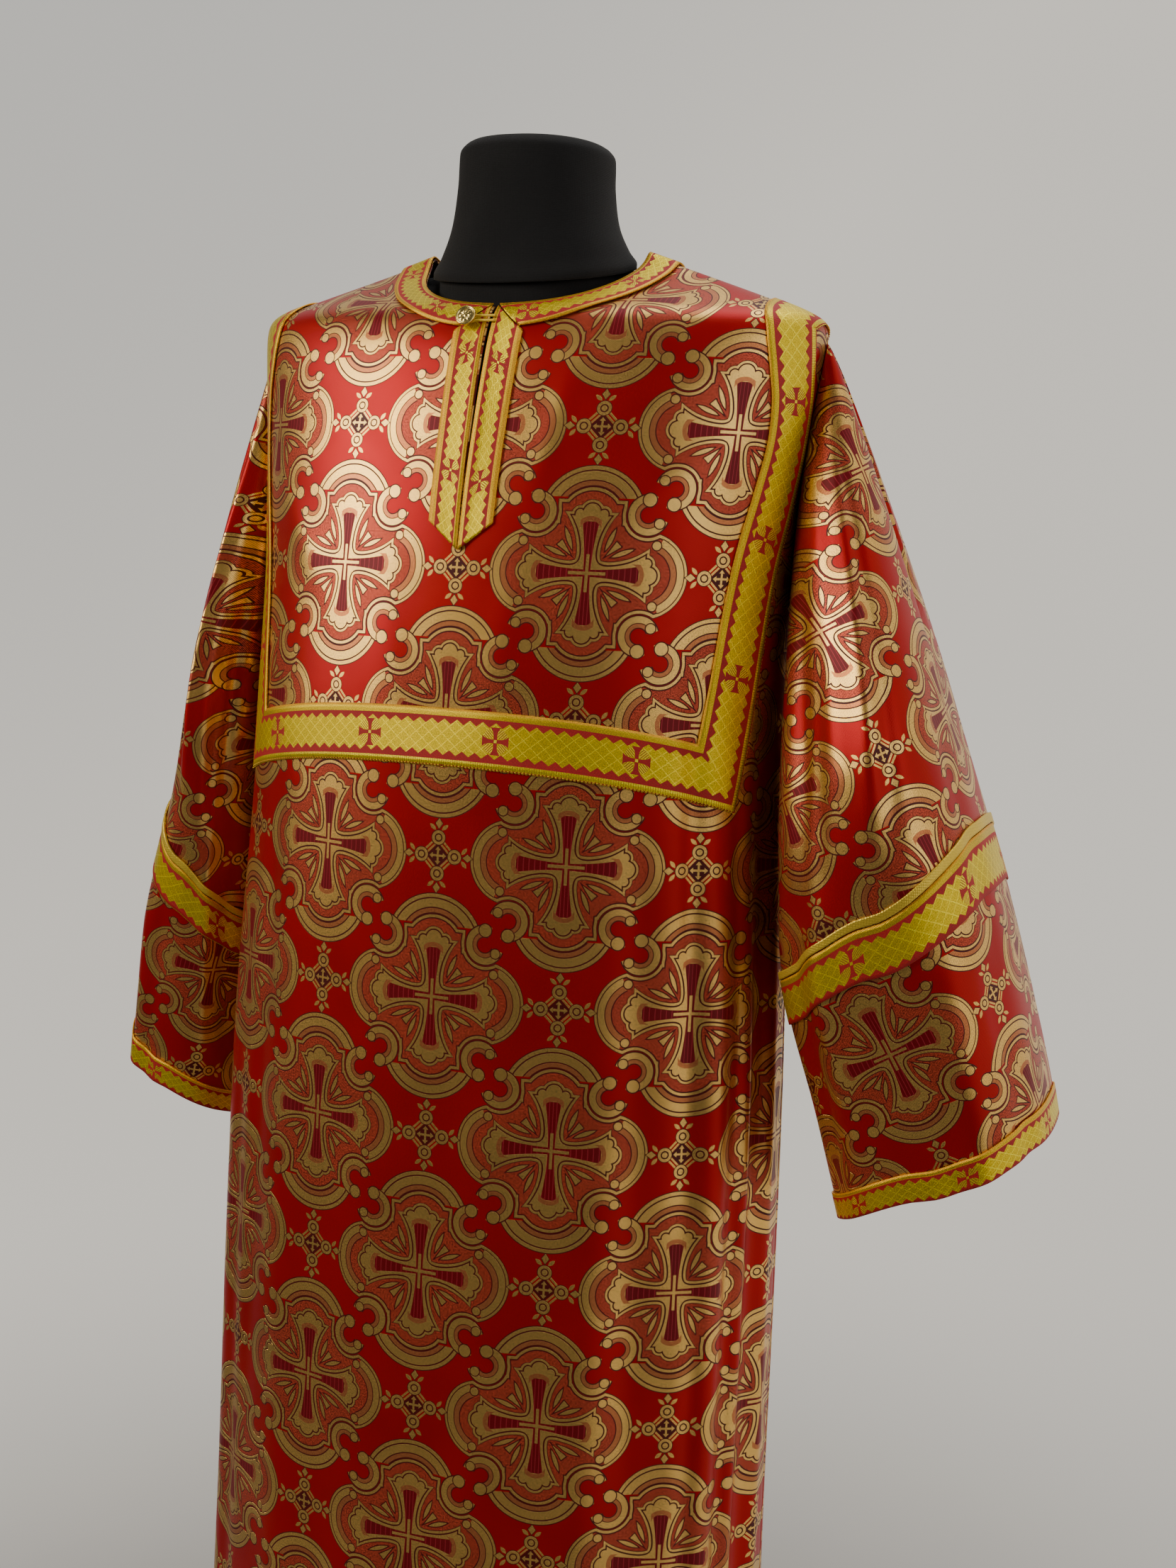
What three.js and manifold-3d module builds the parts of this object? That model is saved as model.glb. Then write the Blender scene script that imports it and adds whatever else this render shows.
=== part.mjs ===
import * as THREE from "three";
import Module from "manifold-3d";

// Sticharion on a limbless dress form. Millimetres, +Z up, front towards -Y, wearer's left at +X,
// origin on the floor under the pole.
const manifold = await Module();
manifold.setup();

const clothWall = 1.6;
const seamGap = 0.4;
const armholeGap = 0.6;
const trimLift = 0.6;
const trimWall = 1.1;
const neckTrimLift = 1.4;
const yokeTrimLift = 0.8;
const sectionPower = 2.2;

const underarmZ = 1215;
const shoulder = { tipX: 232, tipZ: 1412, neckX: 86, neckZ: 1461, rounding: 24 };
const neckFront = { z: 1415, power: 2.3 };
const neckBack = { z: 1446, power: 2.6 };
const neckColumn = 0.36;
const armholeTurn = { front: 5, back: 13 };

const slit = { top: 1430, foot: 1262, gapTop: 3.6, gapFoot: 1.2 };
const narrowGalloon = 24;
const wideGalloon = 40;
const placketTipZ = 1243;

const panelGrid = { columns: 24, yokeRows: 12 };
const skirtHeights = [1215, 1150, 1068, 950, 810, 660, 510, 370, 230, 90];
const sleeveRows = 16;

// Horizontal sections of the body cloth: half width, how far the front and back stand from the
// pole's axis, and where the side and shoulder seams lie.
const bodySections = [
  { z: 90, halfWidth: 238, front: 150, back: 149, seamY: 0 },
  { z: 300, halfWidth: 232, front: 146, back: 145, seamY: 0 },
  { z: 500, halfWidth: 227, front: 143, back: 141, seamY: 0 },
  { z: 700, halfWidth: 225, front: 140, back: 137, seamY: 0 },
  { z: 900, halfWidth: 221, front: 135, back: 132, seamY: 1 },
  { z: 1120, halfWidth: 210, front: 128, back: 124, seamY: 3 },
  { z: 1215, halfWidth: 208, front: 119, back: 118, seamY: 5 },
  { z: 1280, halfWidth: 211, front: 110, back: 112, seamY: 6 },
  { z: 1330, halfWidth: 215, front: 99, back: 106, seamY: 7 },
  { z: 1380, halfWidth: 221, front: 85, back: 95, seamY: 8 },
  { z: 1400, halfWidth: 224, front: 77, back: 88, seamY: 8 },
  { z: 1412, halfWidth: 226, front: 69, back: 83, seamY: 8 },
  { z: 1425, halfWidth: 228, front: 48, back: 77, seamY: 8 },
  { z: 1438, halfWidth: 228, front: 26, back: 70, seamY: 8 },
  { z: 1446, halfWidth: 228, front: 13, back: 63, seamY: 8 },
  { z: 1453, halfWidth: 228, front: 5, back: 41, seamY: 8 },
  { z: 1461, halfWidth: 228, front: 0, back: 18, seamY: 8 },
];

// Sleeve sections by height: the outer edge, the middle and the half depth from front to back.
const leftSleeve = {
  side: 1,
  cuffOuterZ: 864,
  cuffInnerZ: 782,
  band: { from: 0.615, to: 0.685 },
  sections: [
    { z: 760, outer: 430, inner: 284, middleY: 8, halfDepth: 82 },
    { z: 858, outer: 418, inner: 256, middleY: 3, halfDepth: 86 },
    { z: 950, outer: 395, inner: 229, middleY: -4, halfDepth: 91 },
    { z: 1050, outer: 363, inner: 218, middleY: -6, halfDepth: 94 },
    { z: 1150, outer: 326, inner: 214, middleY: -3, halfDepth: 88 },
    { z: 1250, outer: 289, inner: 212, middleY: 3, halfDepth: 70 },
    { z: 1350, outer: 254, inner: 212, middleY: 8, halfDepth: 44 },
    { z: 1412, outer: 227, inner: 212, middleY: 8, halfDepth: 24 },
  ],
};
const rightSleeve = {
  side: -1,
  cuffOuterZ: 826,
  cuffInnerZ: 764,
  band: { from: 0.632, to: 0.7 },
  sections: [
    { z: 760, outer: 356, inner: 244, middleY: 62, halfDepth: 90 },
    { z: 858, outer: 342, inner: 232, middleY: 54, halfDepth: 91 },
    { z: 950, outer: 324, inner: 223, middleY: 45, halfDepth: 92 },
    { z: 1050, outer: 291, inner: 217, middleY: 35, halfDepth: 90 },
    { z: 1150, outer: 271, inner: 214, middleY: 26, halfDepth: 82 },
    { z: 1250, outer: 253, inner: 212, middleY: 18, halfDepth: 66 },
    { z: 1350, outer: 239, inner: 212, middleY: 12, halfDepth: 42 },
    { z: 1412, outer: 227, inner: 212, middleY: 8, halfDepth: 24 },
  ],
};
const sleevePower = 2.6;
const sleeveBlend = 0.42;
const cuffGalloonFrom = 0.958;

// Soft folds of the body cloth: where round the body, how wide, how deep and over what height.
const bodyFolds = [
  { angle: 77, spread: 6, depth: -7, top: 1190, full: 1020, foot: 300 },
  { angle: 60, spread: 7, depth: 4, top: 1066, full: 900, foot: 200 },
  { angle: 46, spread: 8, depth: -3, top: 1060, full: 760, foot: 90 },
  { angle: -78, spread: 6, depth: -5, top: 1190, full: 1000, foot: 300 },
  { angle: -60, spread: 8, depth: 3, top: 1066, full: 860, foot: 90 },
  { angle: 104, spread: 6, depth: -5, top: 1180, full: 980, foot: 250 },
  { angle: -103, spread: 6, depth: -5, top: 1180, full: 980, foot: 250 },
  { angle: 150, spread: 13, depth: -4, top: 1060, full: 700, foot: 90 },
  { angle: -152, spread: 13, depth: -4, top: 1060, full: 700, foot: 90 },
];
const sleeveFolds = [
  { angle: 118, spread: 14, depth: -9, from: 0.12, full: 0.34, to: 0.62 },
  { angle: 78, spread: 16, depth: 4, from: 0.1, full: 0.3, to: 0.7 },
  { angle: 236, spread: 16, depth: -7, from: 0.12, full: 0.32, to: 0.6 },
  { angle: 285, spread: 18, depth: 4, from: 0.1, full: 0.4, to: 0.8 },
];

// Dress form: a covered torso with a flat-topped neck block, on a pole and a round base.
const torsoSections = [
  { z: 868, halfWidth: 150, front: 84, back: 92 },
  { z: 880, halfWidth: 166, front: 97, back: 108 },
  { z: 950, halfWidth: 172, front: 104, back: 116 },
  { z: 1060, halfWidth: 146, front: 92, back: 92 },
  { z: 1120, halfWidth: 148, front: 96, back: 92 },
  { z: 1215, halfWidth: 168, front: 108, back: 100 },
  { z: 1290, halfWidth: 182, front: 100, back: 100 },
  { z: 1350, halfWidth: 190, front: 86, back: 92 },
  { z: 1385, halfWidth: 190, front: 74, back: 85 },
];
// Shoulder rings follow the cloth just under it, and the neck rises through them.
const shoulderRings = [
  { z: 1400, tilt: 0 }, { z: 1408, tilt: 0.05 }, { z: 1416, tilt: 0.1 }, { z: 1424, tilt: 0.15 },
  { z: 1431, tilt: 0.19 }, { z: 1437, tilt: 0.22 }, { z: 1441.5, tilt: 0.24 },
];
const neckStub = { halfWidth: 70, front: 62, back: 57, z: 1447.4, tilt: 0.26 };
const underCloth = { down: 4.6, inside: 3.2, widest: 190 };
const neckSections = [
  { z: 1448, halfWidth: 75, front: 66, back: 61, tilt: 0.26 },
  { z: 1452, halfWidth: 75, front: 66, back: 61, tilt: 0.26 },
  { z: 1461, halfWidth: 69, front: 64, back: 57, tilt: 0.22 },
  { z: 1480, halfWidth: 61, front: 62, back: 50, tilt: 0.14 },
  { z: 1506, halfWidth: 57, front: 61, back: 46, tilt: 0.06 },
  { z: 1529, halfWidth: 56, front: 61, back: 45, tilt: 0.02 },
  { z: 1536, halfWidth: 52, front: 57, back: 41, tilt: 0.02 },
];
const standGap = 0.5;
const pole = { radius: 15, embed: 868 };
const standBase = { radius: 150, rim: 7, crown: 12, collarRadius: 24, collarTop: 36 };

const button = { x: -16.5, z: 1403, radius: 7.6, height: 8.8, underside: 5.7, foot: 3.2, shankRadius: 1.5 };
const loop = { cordRadius: 1, strandGap: 3.4, start: 4.5, lift: 4.3, aroundShank: 3.1 };

const colours = {
  brocade: 0x9c1420,
  galloon: 0xc49a2a,
  braid: 0xd8b040,
  brass: 0xd2b24a,
  cord: 0xe0ad22,
  black: 0x17171a,
  steel: 0x2a2a2c,
};

const degrees = Math.PI / 180;
const lerp = (a, b, t) => a + (b - a) * t;
const clamp01 = (t) => Math.min(1, Math.max(0, t));
const smooth = (t) => clamp01(t) ** 2 * (3 - 2 * clamp01(t));
const signedPower = (value, power) => Math.sign(value) * Math.abs(value) ** power;

function sectionAt(table, z, column) {
  const last = table.length - 1;
  const bounded = Math.min(table[last].z, Math.max(table[0].z, z));
  let i = 0;
  while (i < last - 1 && table[i + 1].z < bounded) {
    i += 1;
  }
  const slope = (k) => {
    const low = Math.max(0, k - 1);
    const high = Math.min(last, k + 1);
    return (table[high][column] - table[low][column]) / (table[high].z - table[low].z);
  };
  const span = table[i + 1].z - table[i].z;
  const t = (bounded - table[i].z) / span;
  const straight = (table[i + 1][column] - table[i][column]) / span;
  const ease = (k) => {
    const value = slope(k);
    if (value * straight <= 0) {
      return 0;
    }
    return Math.sign(value) * Math.min(Math.abs(value), 2.5 * Math.abs(straight));
  };
  const h = t * t * (3 - 2 * t);
  const startPull = t * (1 - t) * (1 - t) * span * ease(i);
  const endPull = t * t * (t - 1) * span * ease(i + 1);
  return lerp(table[i][column], table[i + 1][column], h) + startPull + endPull;
}

// The side of the body and the slope of the shoulder run into each other in a small curve.
function halfWidthAt(z) {
  const side = sectionAt(bodySections, z, "halfWidth");
  const rise = (z - shoulder.tipZ) / (shoulder.neckZ - shoulder.tipZ);
  const slope = lerp(shoulder.tipX, shoulder.neckX, rise);
  return (side + slope - Math.hypot(side - slope, shoulder.rounding)) / 2;
}

const armholeTop = tipOfShoulder();

function tipOfShoulder() {
  let best = shoulder.tipZ - 30;
  for (let z = best; z < shoulder.neckZ; z += 0.25) {
    if (halfWidthAt(z) > halfWidthAt(best)) {
      best = z;
    }
  }
  return { x: halfWidthAt(best), z: best };
}

function seamHeight(x) {
  let low = armholeTop.z;
  let high = shoulder.neckZ + 10;
  for (let round = 0; round < 40; round += 1) {
    const middle = (low + high) / 2;
    if (halfWidthAt(middle) > Math.abs(x)) {
      low = middle;
    } else {
      high = middle;
    }
  }
  return low;
}

function depthAt(z, facing) {
  const seamY = sectionAt(bodySections, z, "seamY");
  if (facing < 0) {
    return sectionAt(bodySections, z, "front") + seamY;
  }
  return sectionAt(bodySections, z, "back") - seamY;
}

// Angle round the body: 0 at the front, 90 at the wearer's left, 180 at the back.
function bodyAtAngle(angle, z) {
  const sine = Math.sin(angle * degrees);
  const cosine = Math.cos(angle * degrees);
  const facing = cosine >= 0 ? -1 : 1;
  const power = 2 / sectionPower;
  return new THREE.Vector3(
    halfWidthAt(z) * signedPower(sine, power),
    sectionAt(bodySections, z, "seamY") + facing * depthAt(z, facing) * Math.abs(cosine) ** power,
    z,
  );
}

function foldAt(angle, z) {
  let depth = 0;
  for (const fold of bodyFolds) {
    const across = (angle - fold.angle) / fold.spread;
    const down = smooth((fold.top - z) / (fold.top - fold.full));
    const fade = 0.35 + 0.65 * smooth((z - fold.foot + 200) / 400);
    depth += fold.depth * Math.exp(-across * across) * down * fade;
  }
  return depth;
}

function armholeX(z, facing) {
  const down = clamp01((armholeTop.z - z) / (armholeTop.z - underarmZ));
  const turn = facing < 0 ? armholeTurn.front : armholeTurn.back;
  const angle = 90 - turn * Math.sin(Math.PI * down) ** 0.62;
  return halfWidthAt(z) * Math.sin(angle * degrees) ** (2 / sectionPower);
}

function bodyAcross(x, z, facing) {
  const share = Math.min(1, Math.abs(x) / halfWidthAt(z));
  const depth = (1 - share ** sectionPower) ** (1 / sectionPower);
  const y = sectionAt(bodySections, z, "seamY") + facing * depthAt(z, facing) * depth;
  return new THREE.Vector3(x, y, z);
}

// One point of the front (facing -1) or back (facing +1) cloth at column s from -1 to 1.
function panelPoint(facing, s, row) {
  const neck = facing < 0 ? neckFront : neckBack;
  const side = Math.abs(s);
  let topX;
  let topZ;
  if (side <= neckColumn) {
    const swing = (side / neckColumn) * Math.PI * 0.5;
    topX = shoulder.neckX * Math.sin(swing) ** (2 / neck.power);
    topZ = shoulder.neckZ - (shoulder.neckZ - neck.z) * Math.cos(swing) ** (2 / neck.power);
  } else {
    topX = lerp(shoulder.neckX, armholeTop.x, (side - neckColumn) / (1 - neckColumn));
    topZ = seamHeight(topX);
  }
  const gapShift = facing * seamGap * 0.5;
  if (row > panelGrid.yokeRows) {
    const z = skirtHeights[row - panelGrid.yokeRows];
    const turn = facing < 0 ? s * 90 : Math.sign(s || 1) * (180 - side * 90);
    const point = bodyAtAngle(turn, z);
    const outward = bodyNormal(point, facing);
    point.addScaledVector(outward, foldAt(turn, z));
    point.y += gapShift;
    return point;
  }
  const t = (row / panelGrid.yokeRows) ** 1.6;
  const z = lerp(topZ, underarmZ, t);
  const edgeZ = lerp(armholeTop.z, underarmZ, t);
  const edgeX = armholeX(edgeZ, facing);
  const lowShare = Math.sin(side * 90 * degrees) ** (2 / sectionPower);
  const mix = smooth(t);
  const high = topX + side ** 4 * (edgeX - armholeTop.x);
  const x = lerp(high, edgeX * lowShare, mix);
  const point = bodyAcross(Math.sign(s || 1) * x, z, facing);
  point.y += gapShift;
  return point;
}

// How far a point stands outside the body's section, as a share of the section.
function bodyShare(point, facing) {
  const across = Math.abs(point.x) / halfWidthAt(point.z);
  const seamY = sectionAt(bodySections, point.z, "seamY");
  const forward = Math.abs(point.y - seamY) / depthAt(point.z, facing);
  return across ** sectionPower + forward ** sectionPower - 1;
}

function bodyNormal(point, facing) {
  const step = 0.5;
  const normal = new THREE.Vector3();
  for (const axis of ["x", "y", "z"]) {
    const ahead = point.clone();
    const behind = point.clone();
    ahead[axis] += step;
    behind[axis] -= step;
    normal[axis] = bodyShare(ahead, facing) - bodyShare(behind, facing);
  }
  return normal.normalize();
}

function ontoBody(point, facing) {
  const result = point.clone();
  for (let turn = 0; turn < 8; turn += 1) {
    const normal = bodyNormal(result, facing);
    const ahead = result.clone().addScaledVector(normal, 0.5);
    const behind = result.clone().addScaledVector(normal, -0.5);
    const slope = bodyShare(ahead, facing) - bodyShare(behind, facing);
    result.addScaledVector(normal, -bodyShare(result, facing) / slope);
  }
  return result;
}

function walkOnBody(point, direction, distance, facing) {
  const steps = Math.max(1, Math.ceil(Math.abs(distance) / 5));
  let place = point.clone();
  for (let k = 0; k < steps; k += 1) {
    place = ontoBody(place.addScaledVector(direction, distance / steps), facing);
  }
  return place;
}

// A closed wall between two offsets from a grid of points. Columns may join up into a tube.
function wallFromGrid(points, normals, inner, outer, tube) {
  const rows = points.length;
  const columns = points[0].length;
  const vertices = [];
  for (const offset of [outer, inner]) {
    for (let i = 0; i < rows; i += 1) {
      for (let j = 0; j < columns; j += 1) {
        const moved = points[i][j].clone().addScaledVector(normals[i][j], offset);
        vertices.push(moved.x, moved.y, moved.z);
      }
    }
  }
  const layer = rows * columns;
  const at = (side, i, j) => side * layer + i * columns + (j % columns);
  const faces = [];
  const quad = (a, b, c, d) => faces.push(a, b, c, a, c, d);
  const lastColumn = tube ? columns : columns - 1;
  for (let i = 0; i < rows - 1; i += 1) {
    for (let j = 0; j < lastColumn; j += 1) {
      quad(at(0, i, j), at(0, i + 1, j), at(0, i + 1, j + 1), at(0, i, j + 1));
      quad(at(1, i, j), at(1, i, j + 1), at(1, i + 1, j + 1), at(1, i + 1, j));
    }
  }
  for (let j = 0; j < lastColumn; j += 1) {
    quad(at(0, 0, j), at(0, 0, j + 1), at(1, 0, j + 1), at(1, 0, j));
    const end = rows - 1;
    quad(at(0, end, j), at(1, end, j), at(1, end, j + 1), at(0, end, j + 1));
  }
  if (!tube) {
    const end = columns - 1;
    for (let i = 0; i < rows - 1; i += 1) {
      quad(at(0, i, 0), at(1, i, 0), at(1, i + 1, 0), at(0, i + 1, 0));
      quad(at(0, i, end), at(0, i + 1, end), at(1, i + 1, end), at(1, i, end));
    }
  }
  const geometry = new THREE.BufferGeometry();
  geometry.setAttribute("position", new THREE.Float32BufferAttribute(vertices, 3));
  geometry.setIndex(faces);
  return facingOut(geometry);
}

function facingOut(geometry) {
  const place = geometry.getAttribute("position");
  const index = geometry.getIndex();
  const corner = (k) => new THREE.Vector3().fromBufferAttribute(place, index.getX(k));
  let volume = 0;
  for (let k = 0; k < index.count; k += 3) {
    volume += corner(k).dot(corner(k + 1).cross(corner(k + 2)));
  }
  if (volume < 0) {
    for (let k = 0; k < index.count; k += 3) {
      const second = index.getX(k + 1);
      index.setX(k + 1, index.getX(k + 2));
      index.setX(k + 2, second);
    }
  }
  geometry.computeVertexNormals();
  return geometry;
}

// Normals of a grid of points, turned to the side that outwardAt gives.
function gridNormals(points, tube, outwardAt) {
  const rows = points.length;
  const columns = points[0].length;
  return points.map((line, i) => line.map((point, j) => {
    const before = tube ? (j + columns - 1) % columns : Math.max(0, j - 1);
    const after = tube ? (j + 1) % columns : Math.min(columns - 1, j + 1);
    const along = points[Math.min(rows - 1, i + 1)][j].clone().sub(points[Math.max(0, i - 1)][j]);
    const across = points[i][after].clone().sub(points[i][before]);
    const normal = along.cross(across).normalize();
    return normal.dot(outwardAt(point, i, j)) < 0 ? normal.negate() : normal;
  }));
}

function clothPanel(facing) {
  const rows = panelGrid.yokeRows + skirtHeights.length - 1;
  const points = [];
  for (let row = 0; row <= rows; row += 1) {
    const line = [];
    for (let column = 0; column <= panelGrid.columns; column += 1) {
      line.push(panelPoint(facing, (2 * column) / panelGrid.columns - 1, row));
    }
    points.push(line);
  }
  const normals = gridNormals(points, false, (point) => bodyNormal(point, facing));
  const seamed = (row, column) => {
    const s = Math.abs((2 * column) / panelGrid.columns - 1);
    const onShoulder = row === 0 && s > neckColumn - 0.001;
    const onSide = s > 0.999 && row >= panelGrid.yokeRows;
    return onShoulder || onSide;
  };
  normals.forEach((line, row) => line.forEach((normal, column) => {
    if (seamed(row, column)) {
      normal.y = 0;
      normal.normalize();
    }
  }));
  return { points, normals, geometry: wallFromGrid(points, normals, -clothWall, 0, false) };
}

function toManifold(geometry) {
  const vertProperties = new Float32Array(geometry.getAttribute("position").array);
  const triVerts = new Uint32Array(geometry.getIndex().array);
  return new manifold.Manifold(new manifold.Mesh({ numProp: 3, vertProperties, triVerts }));
}

function fromManifold(solid) {
  const mesh = solid.getMesh();
  const geometry = new THREE.BufferGeometry();
  const vertices = [];
  for (let k = 0; k < mesh.vertProperties.length; k += mesh.numProp) {
    vertices.push(...mesh.vertProperties.slice(k, k + 3));
  }
  geometry.setAttribute("position", new THREE.Float32BufferAttribute(vertices, 3));
  geometry.setIndex(Array.from(mesh.triVerts));
  geometry.computeVertexNormals();
  return geometry;
}

function openSlit(geometry) {
  const near = -200;
  const far = -20;
  const corners = [
    [-slit.gapFoot / 2, slit.foot], [slit.gapFoot / 2, slit.foot],
    [slit.gapTop / 2, slit.top], [-slit.gapTop / 2, slit.top],
  ];
  const vertices = [];
  for (const y of [near, far]) {
    for (const [x, z] of corners) {
      vertices.push(x, y, z);
    }
  }
  const faces = [0, 1, 2, 0, 2, 3, 4, 6, 5, 4, 7, 6, 0, 4, 5, 0, 5, 1];
  faces.push(1, 5, 6, 1, 6, 2, 2, 6, 7, 2, 7, 3, 3, 7, 4, 3, 4, 0);
  const wedge = new THREE.BufferGeometry();
  wedge.setAttribute("position", new THREE.Float32BufferAttribute(vertices, 3));
  wedge.setIndex(faces);
  const cutter = toManifold(facingOut(wedge));
  return fromManifold(toManifold(geometry).subtract(cutter));
}

// The wide galloon runs down inside the armhole from the shoulder seam, then across the chest.
const yoke = {
  seamX: 201.5,
  front: [
    { x: 203, z: 1412 }, { x: 205.5, z: 1400 }, { x: 207.5, z: 1380 }, { x: 208.5, z: 1354 },
    { x: 206, z: 1320 }, { x: 201, z: 1285 }, { x: 195, z: 1248 }, { x: 190, z: 1200 },
    { x: 187, z: 1155 }, { x: 182, z: 1095 },
  ],
  back: [
    { x: 201, z: 1412 }, { x: 199, z: 1400 }, { x: 196, z: 1380 }, { x: 193, z: 1354 },
    { x: 190, z: 1315 }, { x: 188, z: 1275 }, { x: 187, z: 1240 }, { x: 187, z: 1200 },
    { x: 186, z: 1155 }, { x: 182, z: 1095 },
  ],
  bandMiddleZ: 1114,
  pastCorner: { x: 178, z: 1068 },
  strip: { steps: 12, near: 6, far: 17 },
  bandCells: 22,
  across: [-0.5, -0.25, 0, 0.25, 0.5],
};

function yokeTrim(facing) {
  const line = facing < 0 ? yoke.front : yoke.back;
  const guides = [bodyAcross(yoke.seamX, seamHeight(yoke.seamX), facing)];
  line.forEach(({ x, z }) => guides.push(bodyAcross(x, z, facing)));
  const toCorner = new THREE.CatmullRomCurve3(guides, false, "centripetal").getLength();
  guides.push(bodyAcross(yoke.pastCorner.x, yoke.pastCorner.z, facing));
  const fall = new THREE.CatmullRomCurve3(guides, false, "centripetal");
  const whole = fall.getLength();

  const shares = [0];
  for (let place = yoke.strip.near; place < toCorner - yoke.strip.far * 0.5;) {
    shares.push(place / toCorner);
    place += shares.length < yoke.strip.steps ? yoke.strip.near : yoke.strip.far;
  }
  shares.push(1);
  const strip = shares.map((share) => yoke.across.map((across) => {
    const sideways = across * wideGalloon;
    const place = Math.min(0.995, (share * (toCorner + sideways)) / whole);
    const centre = ontoBody(fall.getPointAt(place), facing);
    const normal = bodyNormal(centre, facing);
    const outward = fall.getTangentAt(place).cross(normal).normalize();
    const point = walkOnBody(centre, outward.x < 0 ? outward.negate() : outward, sideways, facing);
    if (share === 0) {
      point.y = sectionAt(bodySections, point.z, "seamY");
      point.z = seamHeight(point.x);
    }
    return point;
  }));

  const ends = strip[strip.length - 1];
  const band = [];
  for (let k = 1; k < yoke.bandCells; k += 1) {
    const share = 1 - (2 * k) / yoke.bandCells;
    band.push(ends.map((end, n) => {
      const level = yoke.bandMiddleZ - yoke.across[n] * wideGalloon;
      const z = lerp(level, end.z, share * share);
      const full = Math.asin((end.x / halfWidthAt(end.z)) ** (sectionPower / 2));
      const x = halfWidthAt(z) * signedPower(Math.sin(full * share), 2 / sectionPower);
      return bodyAcross(x, z, facing);
    }));
  }
  const mirrored = strip.map((row) => row.map(({ x, y, z }) => new THREE.Vector3(-x, y, z))).reverse();
  const points = [...strip, ...band, ...mirrored];
  const normals = points.map((row) => row.map((point) => bodyNormal(point, facing)));
  for (const row of [normals[0], normals[normals.length - 1]]) {
    row.forEach((normal) => normal.setY(0).normalize());
  }
  points.flat().forEach((point) => {
    point.y += facing * seamGap * 0.5;
  });
  return wallFromGrid(points, normals, yokeTrimLift, yokeTrimLift + trimWall, false);
}

function neckPoint(facing, side, share) {
  const neck = facing < 0 ? neckFront : neckBack;
  const swing = share * Math.PI * 0.5;
  const x = side * shoulder.neckX * Math.sin(swing) ** (2 / neck.power);
  const rise = shoulder.neckZ - neck.z;
  const z = shoulder.neckZ - rise * Math.cos(swing) ** (2 / neck.power);
  return bodyAcross(x, z, facing);
}

// The mitre from the top of the slit outwards and down, where neck and placket trims meet.
const mitre = { fromX: slit.gapTop / 2 + 0.5, topZ: 1414.6, footZ: 1396 };

function mitreLine(side, drop) {
  return [0, 0.25, 0.5, 0.75, 1].map((share) => {
    const z = lerp(mitre.topZ, mitre.footZ, share) - drop;
    const point = bodyAcross(side * (mitre.fromX + share * narrowGalloon), z, -1);
    point.y -= seamGap * 0.5;
    return point;
  });
}

// The neck trim is laid from the neck edge outwards, so its rows are walked away from that edge.
function neckTrim(facing, shares, side) {
  const lines = shares.map((share, k) => {
    const edge = ontoBody(neckPoint(facing, side, share), facing);
    const near = ontoBody(neckPoint(facing, side, Math.max(0, share - 0.02)), facing);
    const far = ontoBody(neckPoint(facing, side, Math.min(1, share + 0.02)), facing);
    const normal = bodyNormal(edge, facing);
    const along = far.sub(near).normalize();
    const outward = along.clone().cross(normal);
    if (outward.z > 0 || outward.x * side < -0.2) {
      outward.negate();
    }
    const last = k === shares.length - 1 && share === 1;
    if (last) {
      const slope = (shoulder.neckZ - shoulder.tipZ) / (shoulder.tipX - shoulder.neckX);
      outward.set(side, 0, -slope);
    }
    outward.normalize();
    if (k === 0 && facing < 0) {
      return mitreLine(side, 0);
    }
    if (k === 0) {
      outward.set(0, outward.y, outward.z);
    }
    const line = [];
    let point = edge.clone();
    for (let n = 0; n <= 4; n += 1) {
      const laid = point.clone();
      if (last) {
        laid.y = sectionAt(bodySections, laid.z, "seamY");
        laid.z = seamHeight(laid.x);
      }
      laid.y += facing * seamGap * 0.5;
      line.push(laid);
      point = walkOnBody(point, outward, narrowGalloon / 4, facing);
    }
    return line;
  });
  const normals = lines.map((line) => line.map((point) => bodyNormal(point, facing)));
  normals[normals.length - 1].forEach((normal) => {
    normal.y = 0;
    normal.normalize();
  });
  return wallFromGrid(lines, normals, neckTrimLift, neckTrimLift + trimWall, false);
}

function placketTrim(side) {
  const rows = 12;
  const lines = [mitreLine(side, 0.9)];
  for (let k = 1; k <= rows; k += 1) {
    lines.push(lines[0].map((start, n) => {
      const across = n / 4;
      const down = (k / rows) ** 1.4;
      const x = Math.abs(start.x) - lerp(0, mitre.fromX - 0.35, down);
      const foot = placketTipZ + across * narrowGalloon * 0.8;
      const point = bodyAcross(side * x, lerp(start.z, foot, down), -1);
      point.y -= seamGap * 0.5;
      return point;
    }));
  }
  const normals = lines.map((line) => line.map((point) => bodyNormal(point, -1)));
  return wallFromGrid(lines, normals, trimLift, trimLift + trimWall, false);
}

// Place above the front cloth at a given lift, for the button and its loop.
function aboveFront(x, z, lift) {
  const point = bodyAcross(x, z, -1);
  return point.addScaledVector(bodyNormal(point, -1), lift);
}

function buttonSolid() {
  const { radius, height, shankRadius, underside, foot } = button;
  const profile = [[0, foot], [shankRadius, foot], [shankRadius, underside], [radius - 1.2, underside],
    [radius, underside + 1], [radius, height - 0.8], [radius - 0.7, height], [radius - 1.5, height - 0.3],
    [radius - 2, height - 1.1], [radius * 0.4, height - 0.5], [0, height - 0.3]];
  const geometry = lathe(profile, 18);
  const seat = bodyAcross(button.x, button.z, -1);
  const turn = new THREE.Quaternion().setFromUnitVectors(new THREE.Vector3(0, 0, 1), bodyNormal(seat, -1));
  geometry.applyQuaternion(turn);
  geometry.translate(seat.x, seat.y, seat.z);
  return geometry;
}

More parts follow.
